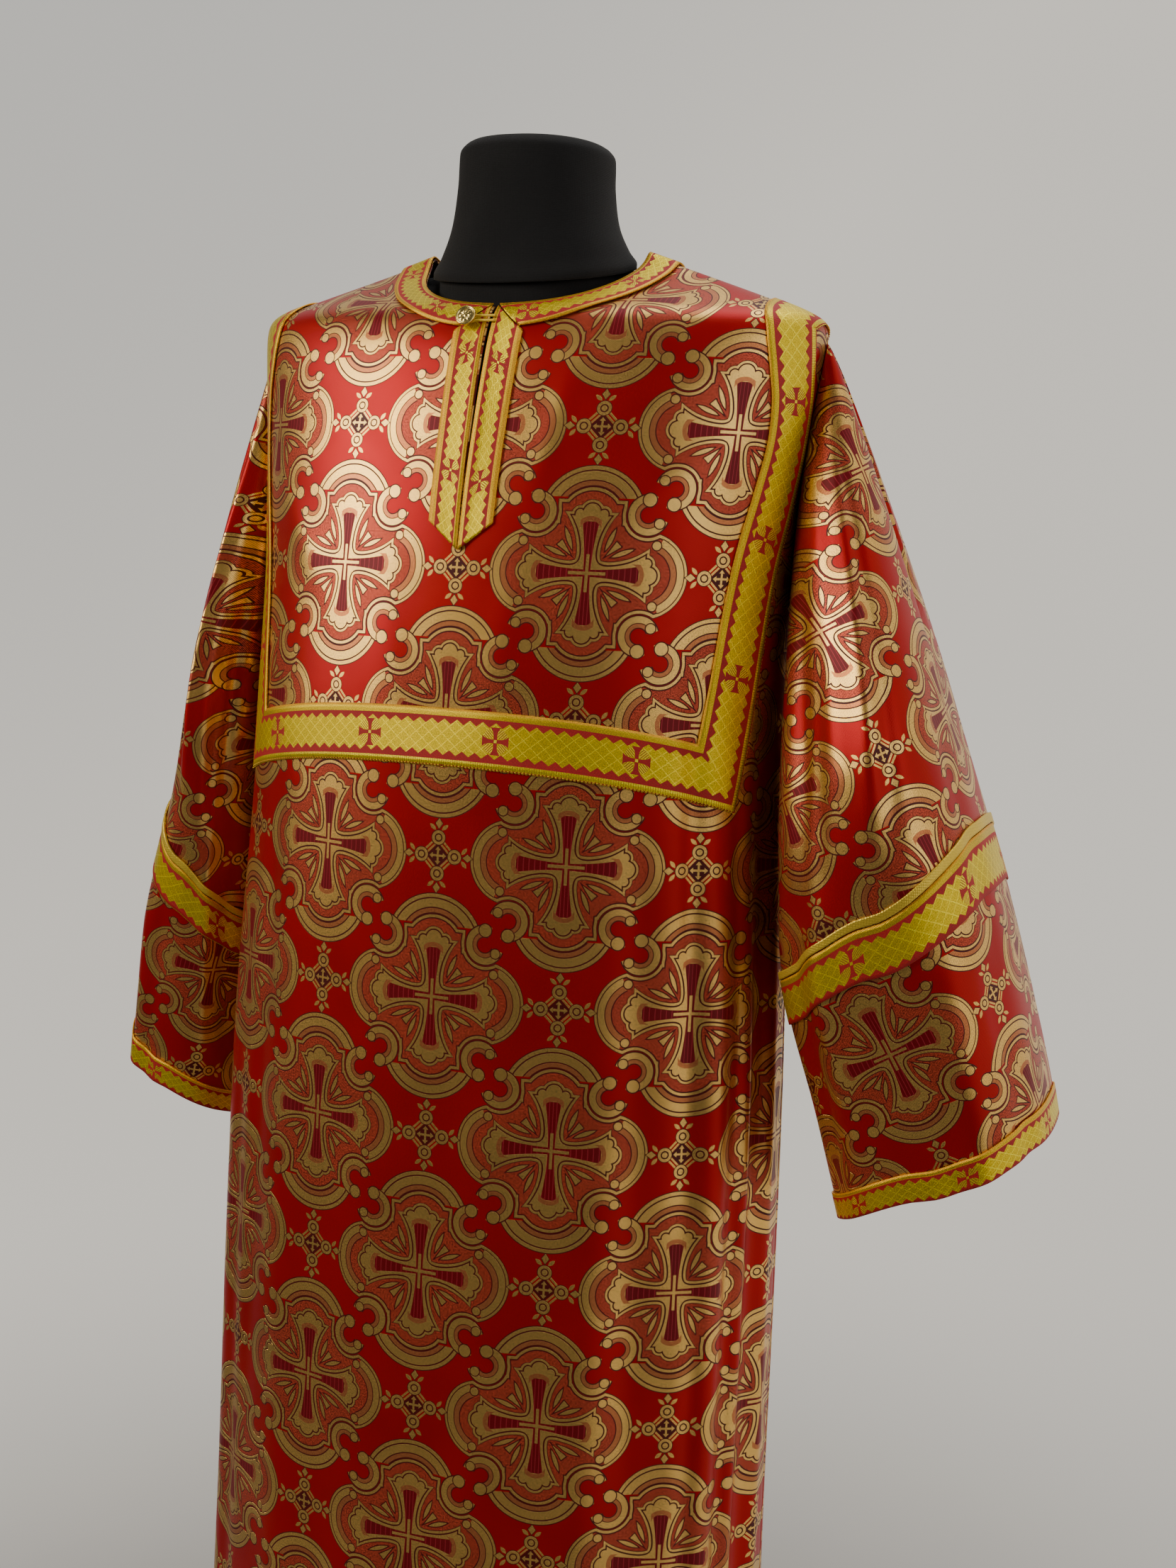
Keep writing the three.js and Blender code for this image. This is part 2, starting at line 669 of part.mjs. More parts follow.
function loopSolid() {
  const { cordRadius, strandGap, start, lift, aroundShank } = loop;
  const near = strandGap / 2;
  const places = [
    [start, near], [-4, near], [-9, near], [button.x + aroundShank, aroundShank * 0.85],
    [button.x, aroundShank], [button.x - aroundShank, 0], [button.x, -aroundShank],
    [button.x + aroundShank, -aroundShank * 0.85], [-9, -near], [-4, -near], [start, -near],
  ];
  const path = places.map(([x, up]) => aboveFront(x, button.z + up, lift));
  const curve = new THREE.CatmullRomCurve3(path, false, "centripetal");
  const round = new THREE.Shape();
  round.absarc(0, 0, cordRadius, 0, 2 * Math.PI);
  const settings = { steps: 22, curveSegments: 5, extrudePath: curve, bevelEnabled: false };
  return new THREE.ExtrudeGeometry(round, settings);
}

// Sleeve: the first ring follows the armhole edge of both panels, later rings come from the table.
function armholeRing(front, back, side) {
  const column = side > 0 ? panelGrid.columns : 0;
  const rows = panelGrid.yokeRows;
  const ring = [];
  const outward = [];
  const take = (panel, row) => {
    const edge = panel.points[row][column];
    const beyond = edge.clone().sub(panel.points[row][column - side]).normalize();
    const away = new THREE.Vector3(side * 0.5, 0, 0).add(beyond).setLength(armholeGap);
    ring.push(edge.clone().add(away));
    outward.push(panel.normals[row][column].clone());
  };
  const middle = (row) => {
    const point = front.points[row][column].clone().lerp(back.points[row][column], 0.5);
    ring.push(point.add(new THREE.Vector3(side * armholeGap, 0, -0.2)));
    outward.push(front.normals[row][column].clone().add(back.normals[row][column]).normalize());
  };
  middle(0);
  for (let row = 1; row < rows; row += 1) {
    take(front, row);
  }
  middle(rows);
  for (let row = rows - 1; row > 0; row -= 1) {
    take(back, row);
  }
  return { ring, outward };
}

function clearOfBody(point, side, clearance) {
  const z = point.z;
  if (z > underarmZ + 2) {
    return point;
  }
  const facing = point.y < sectionAt(bodySections, z, "seamY") ? -1 : 1;
  const forward = Math.abs(point.y - sectionAt(bodySections, z, "seamY")) / depthAt(z, facing);
  const share = Math.max(0, 1 - Math.min(1, forward) ** sectionPower) ** (1 / sectionPower);
  const wallX = halfWidthAt(z) * share + clearance;
  const moved = point.clone();
  moved.x = side * Math.max(side * point.x, wallX);
  return moved;
}

function sleeve(spec, front, back) {
  const { ring, outward } = armholeRing(front, back, spec.side);
  const count = ring.length;
  const points = [];
  for (let row = 0; row <= sleeveRows; row += 1) {
    const u = row / sleeveRows;
    const outerZ = lerp(armholeTop.z, spec.cuffOuterZ, u);
    const innerZ = lerp(underarmZ, spec.cuffInnerZ, u);
    const blend = smooth(u / sleeveBlend);
    const line = ring.map((edge, k) => {
      if (row === 0) {
        return edge.clone();
      }
      const turn = (k / count) * 360;
      const cosine = Math.cos(turn * degrees);
      const sine = Math.sin(turn * degrees);
      const z = lerp(innerZ, outerZ, 0.5 + 0.5 * cosine);
      const outer = sectionAt(spec.sections, z, "outer");
      const inner = sectionAt(spec.sections, z, "inner");
      const middleY = sectionAt(spec.sections, z, "middleY");
      const halfDepth = sectionAt(spec.sections, z, "halfDepth");
      const power = 2 / sleevePower;
      const tube = new THREE.Vector3(
        spec.side * lerp(inner, outer, 0.5 + 0.5 * signedPower(cosine, power)),
        middleY - halfDepth * signedPower(sine, power),
        z,
      );
      let depth = 0;
      for (const fold of sleeveFolds) {
        const across = (turn - fold.angle) / fold.spread;
        const rise = smooth((u - fold.from) / (fold.full - fold.from));
        const fall = 1 - smooth((u - fold.full) / (fold.to - fold.full));
        depth += fold.depth * Math.exp(-across * across) * rise * fall;
      }
      tube.x += spec.side * depth * cosine;
      tube.y -= depth * sine;
      const mixed = edge.clone().lerp(tube, blend);
      const clearance = lerp(armholeGap + 0.3, 1.6, clamp01(u * 8));
      return clearOfBody(mixed, spec.side, clearance);
    });
    points.push(line);
  }
  const middles = points.map((line) => {
    const sum = new THREE.Vector3();
    line.forEach((point) => sum.add(point));
    return sum.multiplyScalar(1 / line.length);
  });
  const outwardAt = (point, row) => point.clone().sub(middles[row]);
  const normals = gridNormals(points, true, outwardAt);
  normals[0] = outward;
  return { points, normals, geometry: wallFromGrid(points, normals, -clothWall, 0, true) };
}

// A ring of trim round a sleeve between two shares of its length.
function trimOnSleeve(made, from, to, lift, wall, rows) {
  const pick = (grid, share) => {
    const place = share * sleeveRows;
    const low = Math.min(sleeveRows - 1, Math.floor(place));
    return grid[low].map((value, k) => value.clone().lerp(grid[low + 1][k], place - low));
  };
  const points = [];
  const normals = [];
  for (let k = 0; k <= rows; k += 1) {
    const share = lerp(from, to, k / rows);
    points.push(pick(made.points, share));
    normals.push(pick(made.normals, share).map((normal) => normal.normalize()));
  }
  return wallFromGrid(points, normals, lift, lift + wall, true);
}

// A closed solid through horizontal rings, each given by half width, front and back.
function ringSolid(table, power, count) {
  const rings = table.map((ring) => {
    const line = [];
    for (let k = 0; k < count; k += 1) {
      const turn = (k / count) * 2 * Math.PI;
      const x = ring.halfWidth * signedPower(Math.sin(turn), 2 / power);
      const cosine = Math.cos(turn);
      const reach = cosine >= 0 ? -ring.front : ring.back;
      const y = reach * Math.abs(cosine) ** (2 / power);
      line.push(new THREE.Vector3(x, y, ring.z + (ring.tilt || 0) * y));
    }
    return line;
  });
  return solidFromRings(rings);
}

function reachAt(section, turn) {
  const depth = Math.cos(turn) >= 0 ? section.front : section.back;
  const across = Math.abs(Math.sin(turn) / section.halfWidth) ** sectionPower;
  return (across + Math.abs(Math.cos(turn) / depth) ** sectionPower) ** (-1 / sectionPower);
}

function torsoSolid(count) {
  const rings = [...torsoSections, ...shoulderRings, neckStub].map((ring) => {
    const line = [];
    for (let k = 0; k < count; k += 1) {
      const turn = (k / count) * 2 * Math.PI;
      let reach = ring.halfWidth ? reachAt(ring, turn) : neckStub.front;
      let z = ring.z - (ring.tilt || 0) * reach * Math.cos(turn);
      for (let round = 0; round < 6 && !ring.halfWidth; round += 1) {
        z = ring.z - ring.tilt * reach * Math.cos(turn);
        const under = z + underCloth.down;
        const shoulders = {
          halfWidth: Math.min(underCloth.widest, halfWidthAt(under) - underCloth.inside),
          front: Math.max(1, sectionAt(bodySections, under, "front") - underCloth.inside),
          back: Math.max(1, sectionAt(bodySections, under, "back") - underCloth.inside),
        };
        reach = Math.max(reachAt(shoulders, turn), reachAt(neckStub, turn));
      }
      line.push(new THREE.Vector3(reach * Math.sin(turn), -reach * Math.cos(turn), z));
    }
    return line;
  });
  return solidFromRings(rings);
}

function solidFromRings(rings) {
  const count = rings[0].length;
  const vertices = rings.flat().flatMap((point) => point.toArray());
  const top = rings.length - 1;
  const bottomMiddle = vertices.length / 3;
  vertices.push(0, 0, (rings[0][0].z + rings[0][count / 2].z) / 2);
  vertices.push(0, 0, (rings[top][0].z + rings[top][count / 2].z) / 2);
  const faces = [];
  for (let i = 0; i < top; i += 1) {
    for (let k = 0; k < count; k += 1) {
      const next = (k + 1) % count;
      const a = i * count + k;
      const b = i * count + next;
      const c = (i + 1) * count + next;
      const d = (i + 1) * count + k;
      faces.push(a, b, c, a, c, d);
    }
  }
  for (let k = 0; k < count; k += 1) {
    const next = (k + 1) % count;
    faces.push(bottomMiddle, next, k);
    faces.push(bottomMiddle + 1, top * count + k, top * count + next);
  }
  const geometry = new THREE.BufferGeometry();
  geometry.setAttribute("position", new THREE.Float32BufferAttribute(vertices, 3));
  geometry.setIndex(faces);
  return facingOut(geometry);
}

function lathe(profile, count) {
  const points = profile.map(([radius, height]) => new THREE.Vector2(radius, height));
  const geometry = new THREE.LatheGeometry(points, count);
  geometry.rotateX(Math.PI / 2);
  return geometry;
}

const group = new THREE.Group();
group.name = "sticharion_on_dress_form";

function add(name, geometry, colour, metalness = 0, roughness = 0.7) {
  const material = new THREE.MeshStandardMaterial({ color: colour, metalness, roughness });
  material.name = name;
  const mesh = new THREE.Mesh(geometry, material);
  mesh.name = name;
  group.add(mesh);
}

const front = clothPanel(-1);
const back = clothPanel(1);
add("front_panel", openSlit(front.geometry), colours.brocade);
add("back_panel", back.geometry, colours.brocade);
for (const [label, spec] of [["left", leftSleeve], ["right", rightSleeve]]) {
  const made = sleeve(spec, front, back);
  add(`sleeve_${label}`, made.geometry, colours.brocade);
  const band = trimOnSleeve(made, spec.band.from, spec.band.to, trimLift, trimWall, 2);
  add(`sleeve_band_${label}`, band, colours.galloon, 0.5, 0.4);
  const piping = trimOnSleeve(made, spec.band.from - 0.014, spec.band.from - 0.002, trimLift, 2, 1);
  add(`sleeve_piping_${label}`, piping, colours.braid, 0.6, 0.35);
  const cuff = trimOnSleeve(made, cuffGalloonFrom, 0.999, trimLift, trimWall, 1);
  add(`cuff_galloon_${label}`, cuff, colours.galloon, 0.5, 0.4);
}

const frontShares = [0.012, 0.1, 0.22, 0.34, 0.46, 0.58, 0.69, 0.78, 0.85, 0.9, 0.94, 0.975, 1];
const backShares = [0.003, 0.14, 0.28, 0.42, 0.56, 0.7, 0.82, 0.9, 0.95, 0.98, 1];
add("neck_galloon_left", neckTrim(-1, frontShares, 1), colours.galloon, 0.5, 0.4);
add("neck_galloon_right", neckTrim(-1, frontShares, -1), colours.galloon, 0.5, 0.4);
add("neck_galloon_back_left", neckTrim(1, backShares, 1), colours.galloon, 0.5, 0.4);
add("neck_galloon_back_right", neckTrim(1, backShares, -1), colours.galloon, 0.5, 0.4);
add("button", buttonSolid(), colours.brass, 0.9, 0.3);
add("button_loop", loopSolid(), colours.cord, 0, 0.7);
add("placket_galloon_left", placketTrim(1), colours.galloon, 0.5, 0.4);
add("placket_galloon_right", placketTrim(-1), colours.galloon, 0.5, 0.4);
add("yoke_galloon_front", yokeTrim(-1), colours.galloon, 0.5, 0.4);
add("yoke_galloon_back", yokeTrim(1), colours.galloon, 0.5, 0.4);

add("form_torso", torsoSolid(32), colours.black, 0, 0.85);
add("form_neck_block", ringSolid(neckSections, 2.2, 28), colours.black, 0, 0.85);

const poleTop = pole.embed - standGap;
const poleProfile = [[0, standBase.collarTop + standGap], [pole.radius, standBase.collarTop + standGap],
  [pole.radius, poleTop], [0, poleTop]];
add("stand_pole", lathe(poleProfile, 20), colours.steel, 0.6, 0.4);
const baseProfile = [[0, 0], [standBase.radius - 3, 0], [standBase.radius, 2.5],
  [standBase.radius, standBase.rim], [standBase.radius - 4, standBase.rim + 2],
  [standBase.collarRadius + 6, standBase.crown], [standBase.collarRadius, standBase.crown + 2],
  [standBase.collarRadius, standBase.collarTop - 3], [standBase.collarRadius - 3, standBase.collarTop],
  [0, standBase.collarTop]];
add("stand_base", lathe(baseProfile, 28), colours.steel, 0.6, 0.4);

export default group;
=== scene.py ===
import math
import bpy
import bmesh
import numpy as np
from mathutils import Matrix, Vector


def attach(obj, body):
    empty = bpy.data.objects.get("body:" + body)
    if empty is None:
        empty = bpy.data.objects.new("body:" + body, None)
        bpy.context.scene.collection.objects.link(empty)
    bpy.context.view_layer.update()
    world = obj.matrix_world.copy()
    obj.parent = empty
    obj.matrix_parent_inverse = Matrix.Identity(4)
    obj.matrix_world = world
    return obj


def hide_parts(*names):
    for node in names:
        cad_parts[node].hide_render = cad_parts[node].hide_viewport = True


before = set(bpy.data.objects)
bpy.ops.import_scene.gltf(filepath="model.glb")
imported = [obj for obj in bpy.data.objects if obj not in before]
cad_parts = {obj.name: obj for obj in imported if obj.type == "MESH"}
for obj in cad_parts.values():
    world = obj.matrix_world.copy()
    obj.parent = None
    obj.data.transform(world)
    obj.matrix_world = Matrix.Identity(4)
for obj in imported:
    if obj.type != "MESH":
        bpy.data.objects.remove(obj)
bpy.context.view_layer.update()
print("stage: frame loaded")

# Metres, +Z up, front towards -Y, wearer's left at +X. All cloth is laid on the surfaces below.

def newObject(name, data):
    obj = bpy.data.objects.new(name, data)
    bpy.context.scene.collection.objects.link(obj)
    return obj

shot = {
    "place": (0.5369, -1.2436, 1.2408),
    "turn": 23.35,        # degrees round from the front, towards the wearer's left
    "aside": -2.344,      # degrees the view swings off the form's axis
    "pitch": 7.18,        # degrees down
    "roll": 2.57,
    "lens": 40.99,
    "sensor": 36.0,
}

def makeCamera():
    cam = newObject("camera", bpy.data.cameras.new("camera"))
    turn = math.radians(shot["turn"])
    aside = Matrix.Rotation(math.radians(shot["aside"]), 3, "Z")
    level = aside @ Vector((-math.sin(turn), math.cos(turn), 0))
    right = level.cross(Vector((0, 0, 1))).normalized()
    ahead = Matrix.Rotation(-math.radians(shot["pitch"]), 3, right) @ level
    up = right.cross(ahead)
    c, s = math.cos(math.radians(shot["roll"])), math.sin(math.radians(shot["roll"]))
    axes = Matrix((c * right + s * up, c * up - s * right, -ahead)).transposed().to_4x4()
    cam.matrix_world = Matrix.Translation(shot["place"]) @ axes
    cam.data.lens = shot["lens"]
    cam.data.sensor_width = shot["sensor"]
    cam.data.clip_end = 200
    bpy.context.scene.camera = cam

makeCamera()

def lerp(a, b, t):
    return a + (b - a) * t

def smooth(t):
    t = np.clip(t, 0, 1)
    return t * t * (3 - 2 * t)

def signedPower(value, power):
    return np.sign(value) * np.abs(value) ** power

def unit(v):
    return v / np.maximum(np.linalg.norm(v, axis=-1, keepdims=True), 1e-12)

def xyz(x, y, z):
    return np.stack(np.broadcast_arrays(x, y, z), axis=-1).astype(float)

def rows(names, *values):
    keys = names.split()
    return [dict(zip(keys, row)) for row in values]

# A column of a table of sections, eased so that no bump appears between two rows.
def columnAt(table, column, z):
    keys = np.array([row["z"] for row in table])
    values = np.array([row[column] for row in table])
    last = len(keys) - 1
    bounded = np.clip(z, keys[0], keys[-1])
    i = np.clip(np.searchsorted(keys, bounded, side="left") - 1, 0, last - 1)
    span = keys[i + 1] - keys[i]
    t = (bounded - keys[i]) / span
    straight = (values[i + 1] - values[i]) / span

    def ease(k):
        low, high = np.maximum(0, k - 1), np.minimum(last, k + 1)
        slope = (values[high] - values[low]) / (keys[high] - keys[low])
        held = np.sign(slope) * np.minimum(np.abs(slope), 2.5 * np.abs(straight))
        return np.where(slope * straight <= 0, 0, held)

    base = lerp(values[i], values[i + 1], t * t * (3 - 2 * t))
    return base + t * (1 - t) ** 2 * span * ease(i) + t * t * (t - 1) * span * ease(i + 1)

body = {
    "sections": rows(
        "z halfWidth front back seamY",
        (0.090, 0.238, 0.150, 0.149, 0.000),
        (0.300, 0.232, 0.146, 0.145, 0.000),
        (0.500, 0.227, 0.143, 0.141, 0.000),
        (0.700, 0.225, 0.140, 0.137, 0.000),
        (0.900, 0.221, 0.135, 0.132, 0.001),
        (1.120, 0.210, 0.128, 0.124, 0.003),
        (1.215, 0.208, 0.119, 0.118, 0.005),
        (1.280, 0.211, 0.110, 0.112, 0.006),
        (1.330, 0.215, 0.099, 0.106, 0.007),
        (1.380, 0.221, 0.085, 0.095, 0.008),
        (1.400, 0.224, 0.077, 0.088, 0.008),
        (1.412, 0.226, 0.069, 0.083, 0.008),
        (1.425, 0.228, 0.048, 0.077, 0.008),
        (1.438, 0.228, 0.026, 0.070, 0.008),
        (1.446, 0.228, 0.013, 0.063, 0.008),
        (1.453, 0.228, 0.005, 0.041, 0.008),
        (1.461, 0.228, 0.000, 0.018, 0.008)),
    "sectionPower": 2.2,
    "hemZ": 0.090,
    "underarmZ": 1.215,
    "tipX": 0.232, "tipZ": 1.412, "neckX": 0.086, "neckZ": 1.461, "rounding": 0.024,
    # -1 is the front cloth and 1 the back
    "neckEdge": {-1: {"z": 1.415, "power": 2.3}, 1: {"z": 1.446, "power": 2.6}},
    "neckColumn": 0.36,
    "armholeTurn": {-1: 5, 1: 13},
    "patternStart": 1.231, "patternLean": 0.8,
    "slitTop": 1.430, "slitFoot": 1.262, "slitGapTop": 0.0036, "slitGapFoot": 0.0012,
    "seamGap": 0.0004, "armholeGap": 0.0006,
    "wall": 0.0014,
    "columns": 72, "yokeRows": 56, "skirtRows": 170,
    "yokeEase": 1.6,      # rows lie closer towards the shoulder
    "slitClose": 0.004, "slitSpread": 0.02,
    # broad folds: degrees round the body, width, depth, and the heights they grow over
    "folds": rows(
        "angle spread depth top full foot",
        (77, 6, -0.007, 1.190, 1.020, 0.300),
        (60, 7, 0.004, 1.066, 0.900, 0.200),
        (46, 8, -0.003, 1.060, 0.760, 0.090),
        (-78, 6, -0.005, 1.190, 1.000, 0.300),
        (-60, 8, 0.003, 1.066, 0.860, 0.090),
        (104, 6, -0.005, 1.180, 0.980, 0.250),
        (-103, 6, -0.005, 1.180, 0.980, 0.250),
        (150, 13, -0.004, 1.060, 0.700, 0.090),
        (-152, 13, -0.004, 1.060, 0.700, 0.090)),
}

def halfWidthAt(z):
    side = columnAt(body["sections"], "halfWidth", z)
    rise = (z - body["tipZ"]) / (body["neckZ"] - body["tipZ"])
    slope = lerp(body["tipX"], body["neckX"], rise)
    return (side + slope - np.hypot(side - slope, body["rounding"])) / 2

shoulderLine = np.arange(body["tipZ"] - 0.03, body["neckZ"] + 0.01, 0.00025)
shoulderWidths = halfWidthAt(shoulderLine)
tipIndex = int(np.argmax(shoulderWidths))
armTopX, armTopZ = shoulderWidths[tipIndex], shoulderLine[tipIndex]

def seamHeight(x):
    return np.interp(np.abs(x), shoulderWidths[tipIndex:][::-1], shoulderLine[tipIndex:][::-1])

def seamYAt(z):
    return columnAt(body["sections"], "seamY", z)

def depthAt(z, facing):
    fore = columnAt(body["sections"], "front", z) + seamYAt(z)
    aft = columnAt(body["sections"], "back", z) - seamYAt(z)
    return np.where(np.asarray(facing) < 0, fore, aft)

def bodyAcross(x, z, facing):
    power = body["sectionPower"]
    share = np.minimum(1, np.abs(x) / halfWidthAt(z))
    depth = (1 - share ** power) ** (1 / power)
    return xyz(x, seamYAt(z) + facing * depthAt(z, facing) * depth, z)

def bodyAtAngle(angle, z):
    sine, cosine = np.sin(np.radians(angle)), np.cos(np.radians(angle))
    facing = np.where(cosine >= 0, -1, 1)
    power = 2 / body["sectionPower"]
    y = seamYAt(z) + facing * depthAt(z, facing) * np.abs(cosine) ** power
    return xyz(halfWidthAt(z) * signedPower(sine, power), y, z)

def bodyShare(p, facing):
    z = p[..., 2]
    across = np.abs(p[..., 0]) / halfWidthAt(z)
    forward = np.abs(p[..., 1] - seamYAt(z)) / depthAt(z, facing)
    return across ** body["sectionPower"] + forward ** body["sectionPower"] - 1

# Half of the distance that a slope is measured over.
probe = 0.0005

def bodyNormal(p, facing):
    parts = []
    for axis in range(3):
        move = np.zeros(3)
        move[axis] = probe
        parts.append(bodyShare(p + move, facing) - bodyShare(p - move, facing))
    return unit(np.stack(parts, axis=-1))

def ontoBody(p, facing):
    for _ in range(8):
        normal = bodyNormal(p, facing)
        slope = bodyShare(p + normal * probe, facing) - bodyShare(p - normal * probe, facing)
        p = p - normal * (bodyShare(p, facing) / slope * 2 * probe)[..., None]
    return p

def walkOnBody(p, direction, distance, facing, steps):
    for _ in range(steps):
        p = ontoBody(p + direction * (distance / steps)[..., None], facing)
    return p

def foldAt(angle, z):
    depth = np.zeros(np.broadcast(angle, z).shape)
    for fold in body["folds"]:
        across = (angle - fold["angle"]) / fold["spread"]
        down = smooth((fold["top"] - z) / (fold["top"] - fold["full"]))
        fade = 0.35 + 0.65 * smooth((z - fold["foot"] + 0.2) / 0.4)
        depth = depth + fold["depth"] * np.exp(-across * across) * down * fade
    return depth

def armholeX(z, facing):
    down = np.clip((armTopZ - z) / (armTopZ - body["underarmZ"]), 0, 1)
    angle = 90 - body["armholeTurn"][facing] * np.abs(np.sin(np.pi * down)) ** 0.62
    return halfWidthAt(z) * np.sin(np.radians(angle)) ** (2 / body["sectionPower"])

# The neck's edge, from the centre line at share 0 to the shoulder seam at share 1.
def neckRim(share, facing):
    low, power = body["neckEdge"][facing]["z"], 2 / body["neckEdge"][facing]["power"]
    swing = share * np.pi / 2
    drop = (body["neckZ"] - low) * np.abs(np.cos(swing)) ** power
    return body["neckX"] * np.sin(swing) ** power, body["neckZ"] - drop

# The cloth above the underarm: s runs from one armhole to the other, t from the top edge down.
def yokePoint(facing, s, t):
    side = np.abs(s)
    rim, rimZ = neckRim(np.minimum(1, side / body["neckColumn"]), facing)
    along = (side - body["neckColumn"]) / (1 - body["neckColumn"])
    seamX = lerp(body["neckX"], armTopX, along)
    onNeck = side <= body["neckColumn"]
    topX = np.where(onNeck, rim, seamX)
    topZ = np.where(onNeck, rimZ, seamHeight(seamX))
    z = lerp(topZ, body["underarmZ"], t)
    edgeZ = lerp(armTopZ, body["underarmZ"], t)
    edgeX = armholeX(edgeZ, facing)
    lowShare = np.abs(np.sin(side * np.pi / 2)) ** (2 / body["sectionPower"])
    high = topX + side ** 4 * (edgeX - armTopX)
    x = lerp(high, edgeX * lowShare, smooth(t)) * np.sign(s)
    p = bodyAcross(x, z, facing)
    p[..., 1] += facing * body["seamGap"] * 0.5
    return p

# Distance round the body from the centre line, and height up the cloth, for the pattern.
def arcAcross(x, z, facing, steps=20):
    power = body["sectionPower"]
    width, depth = halfWidthAt(z), depthAt(z, facing)
    top = np.arcsin(np.clip(np.abs(x) / width, 0, 1) ** (power / 2))
    total, lastX, lastY = 0, 0, depth
    for k in range(1, steps + 1):
        turn = top * k / steps
        nextX, nextY = width * np.sin(turn) ** (2 / power), depth * np.cos(turn) ** (2 / power)
        total = total + np.hypot(nextX - lastX, nextY - lastY)
        lastX, lastY = nextX, nextY
    return total * np.sign(x)

heightStep = 0.002
heightLine = np.arange(body["hemZ"] - 0.01, body["neckZ"] + 0.02, heightStep)

def clothHeight(z, facing):
    profile = np.gradient(depthAt(heightLine, facing), heightLine) * body["patternLean"]
    lengths = np.concatenate([[0], np.cumsum(np.hypot(1, profile)[1:] * heightStep)])
    return np.interp(z, heightLine, lengths) - np.interp(body["patternStart"], heightLine, lengths)

def gridMesh(name, points, uv, material, around=False, splitAt=None):
    count, wide = points.shape[:2]
    columns = wide if around else wide - 1
    vertices = points.reshape(-1, 3)
    faces, corners = [], []
    for i in range(count - 1):
        for j in range(columns):
            if splitAt is not None and j == splitAt:
                continue
            k = (j + 1) % wide
            faces.append((i * wide + j, (i + 1) * wide + j, (i + 1) * wide + k, i * wide + k))
            corners.append(((i, j), (i + 1, j), (i + 1, j + 1), (i, j + 1)))
    mesh = bpy.data.meshes.new(name)
    mesh.from_pydata(vertices.tolist(), [], faces)
    layer = mesh.uv_layers.new(name="cloth")
    flat = np.array(corners).reshape(-1, 2)
    layer.data.foreach_set("uv", uv[flat[:, 0], flat[:, 1]].astype(np.float32).ravel())
    mesh.polygons.foreach_set("use_smooth", [True] * len(mesh.polygons))
    mesh.materials.append(material)
    return newObject(name, mesh)

def facesOutward(obj, outward):
    mesh = obj.data
    total = 0
    for polygon in list(mesh.polygons)[::7]:
        total += polygon.normal.dot(Vector(outward(np.array(polygon.center))))
    if total < 0:
        mesh.flip_normals()

def thicken(obj, wall, offset, lining=None):
    solidify = obj.modifiers.new("wall", "SOLIDIFY")
    solidify.thickness = wall
    solidify.offset = offset
    solidify.use_even_offset = False
    if lining is not None:
        obj.data.materials.append(lining)
        solidify.material_offset = 1
        solidify.material_offset_rim = 1
    return obj

def weld(obj, distance=1e-6, closed=False):
    work = bmesh.new()
    work.from_mesh(obj.data)
    bmesh.ops.remove_doubles(work, verts=work.verts, dist=distance)
    if closed:
        bmesh.ops.recalc_face_normals(work, faces=work.faces)
    work.to_mesh(obj.data)
    work.free()

def join(name, parts):
    work = bmesh.new()
    for part in parts:
        work.from_mesh(part.data)
    whole = bpy.data.meshes.new(name)
    work.to_mesh(whole)
    work.free()
    for material in parts[0].data.materials:
        whole.materials.append(material)
    for part in parts:
        bpy.data.objects.remove(part)
    return newObject(name, whole)

def settle(obj, slotName, *nodes):
    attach(obj, "root")
    if nodes:
        obj.name = nodes[0] + "_finished"
        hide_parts(*nodes)
    return obj

# Soft troughs and ridges of the hanging cloth: degrees round the body, the height range they run
# over, how far they drift sideways on the way down, and their width and depth.
creases = rows(
    "turn high low drift wide deep",
    (3, 1.080, 0.120, -4.0, 4.5, -0.0016),
    (11, 0.980, 0.090, 2.0, 5.0, 0.0018),
    (21, 1.060, 0.300, -3.0, 5.5, -0.0020),
    (30, 0.900, 0.090, 2.0, 5.0, 0.0022),
    (39, 1.150, 0.500, 3.0, 4.5, -0.0024),
    (52, 1.230, 0.700, 2.0, 3.4, -0.0034),
    (56, 0.860, 0.090, -2.0, 3.0, -0.0030),
    (66, 1.190, 0.240, 1.0, 2.8, -0.0044),
    (71.5, 1.080, 0.120, -1.5, 2.2, 0.0034),
    (83, 1.120, 0.260, 1.5, 2.6, 0.0030),
    (-9, 1.000, 0.400, 3.0, 5.5, 0.0014),
    (-19, 1.070, 0.090, -2.5, 5.0, -0.0018),
    (-31, 0.960, 0.250, 2.0, 5.0, 0.0020),
    (-43, 1.140, 0.540, -2.0, 4.0, -0.0024),
    (-54, 1.020, 0.090, 1.0, 3.6, -0.0028),
    (-69, 1.170, 0.330, -1.0, 3.0, -0.0036),
    (-86, 1.100, 0.200, 1.0, 2.6, 0.0026),
    (96, 1.140, 0.320, -1.0, 3.0, -0.0034),
    (113, 1.060, 0.090, 2.0, 3.6, 0.0026),
    (128, 1.150, 0.280, -3.0, 4.5, -0.0028),
    (141, 0.980, 0.110, 2.0, 4.5, 0.0022),
    (163, 1.080, 0.380, -2.0, 5.5, -0.0018),
    (174, 0.940, 0.090, 2.0, 5.0, 0.0018),
    (-168, 1.060, 0.200, 1.5, 5.5, -0.0018),
    (-141, 1.120, 0.090, -2.0, 4.5, -0.0026),
    (-127, 0.990, 0.340, 2.0, 4.0, 0.0024),
    (-112, 1.150, 0.180, 1.0, 3.4, -0.0030))

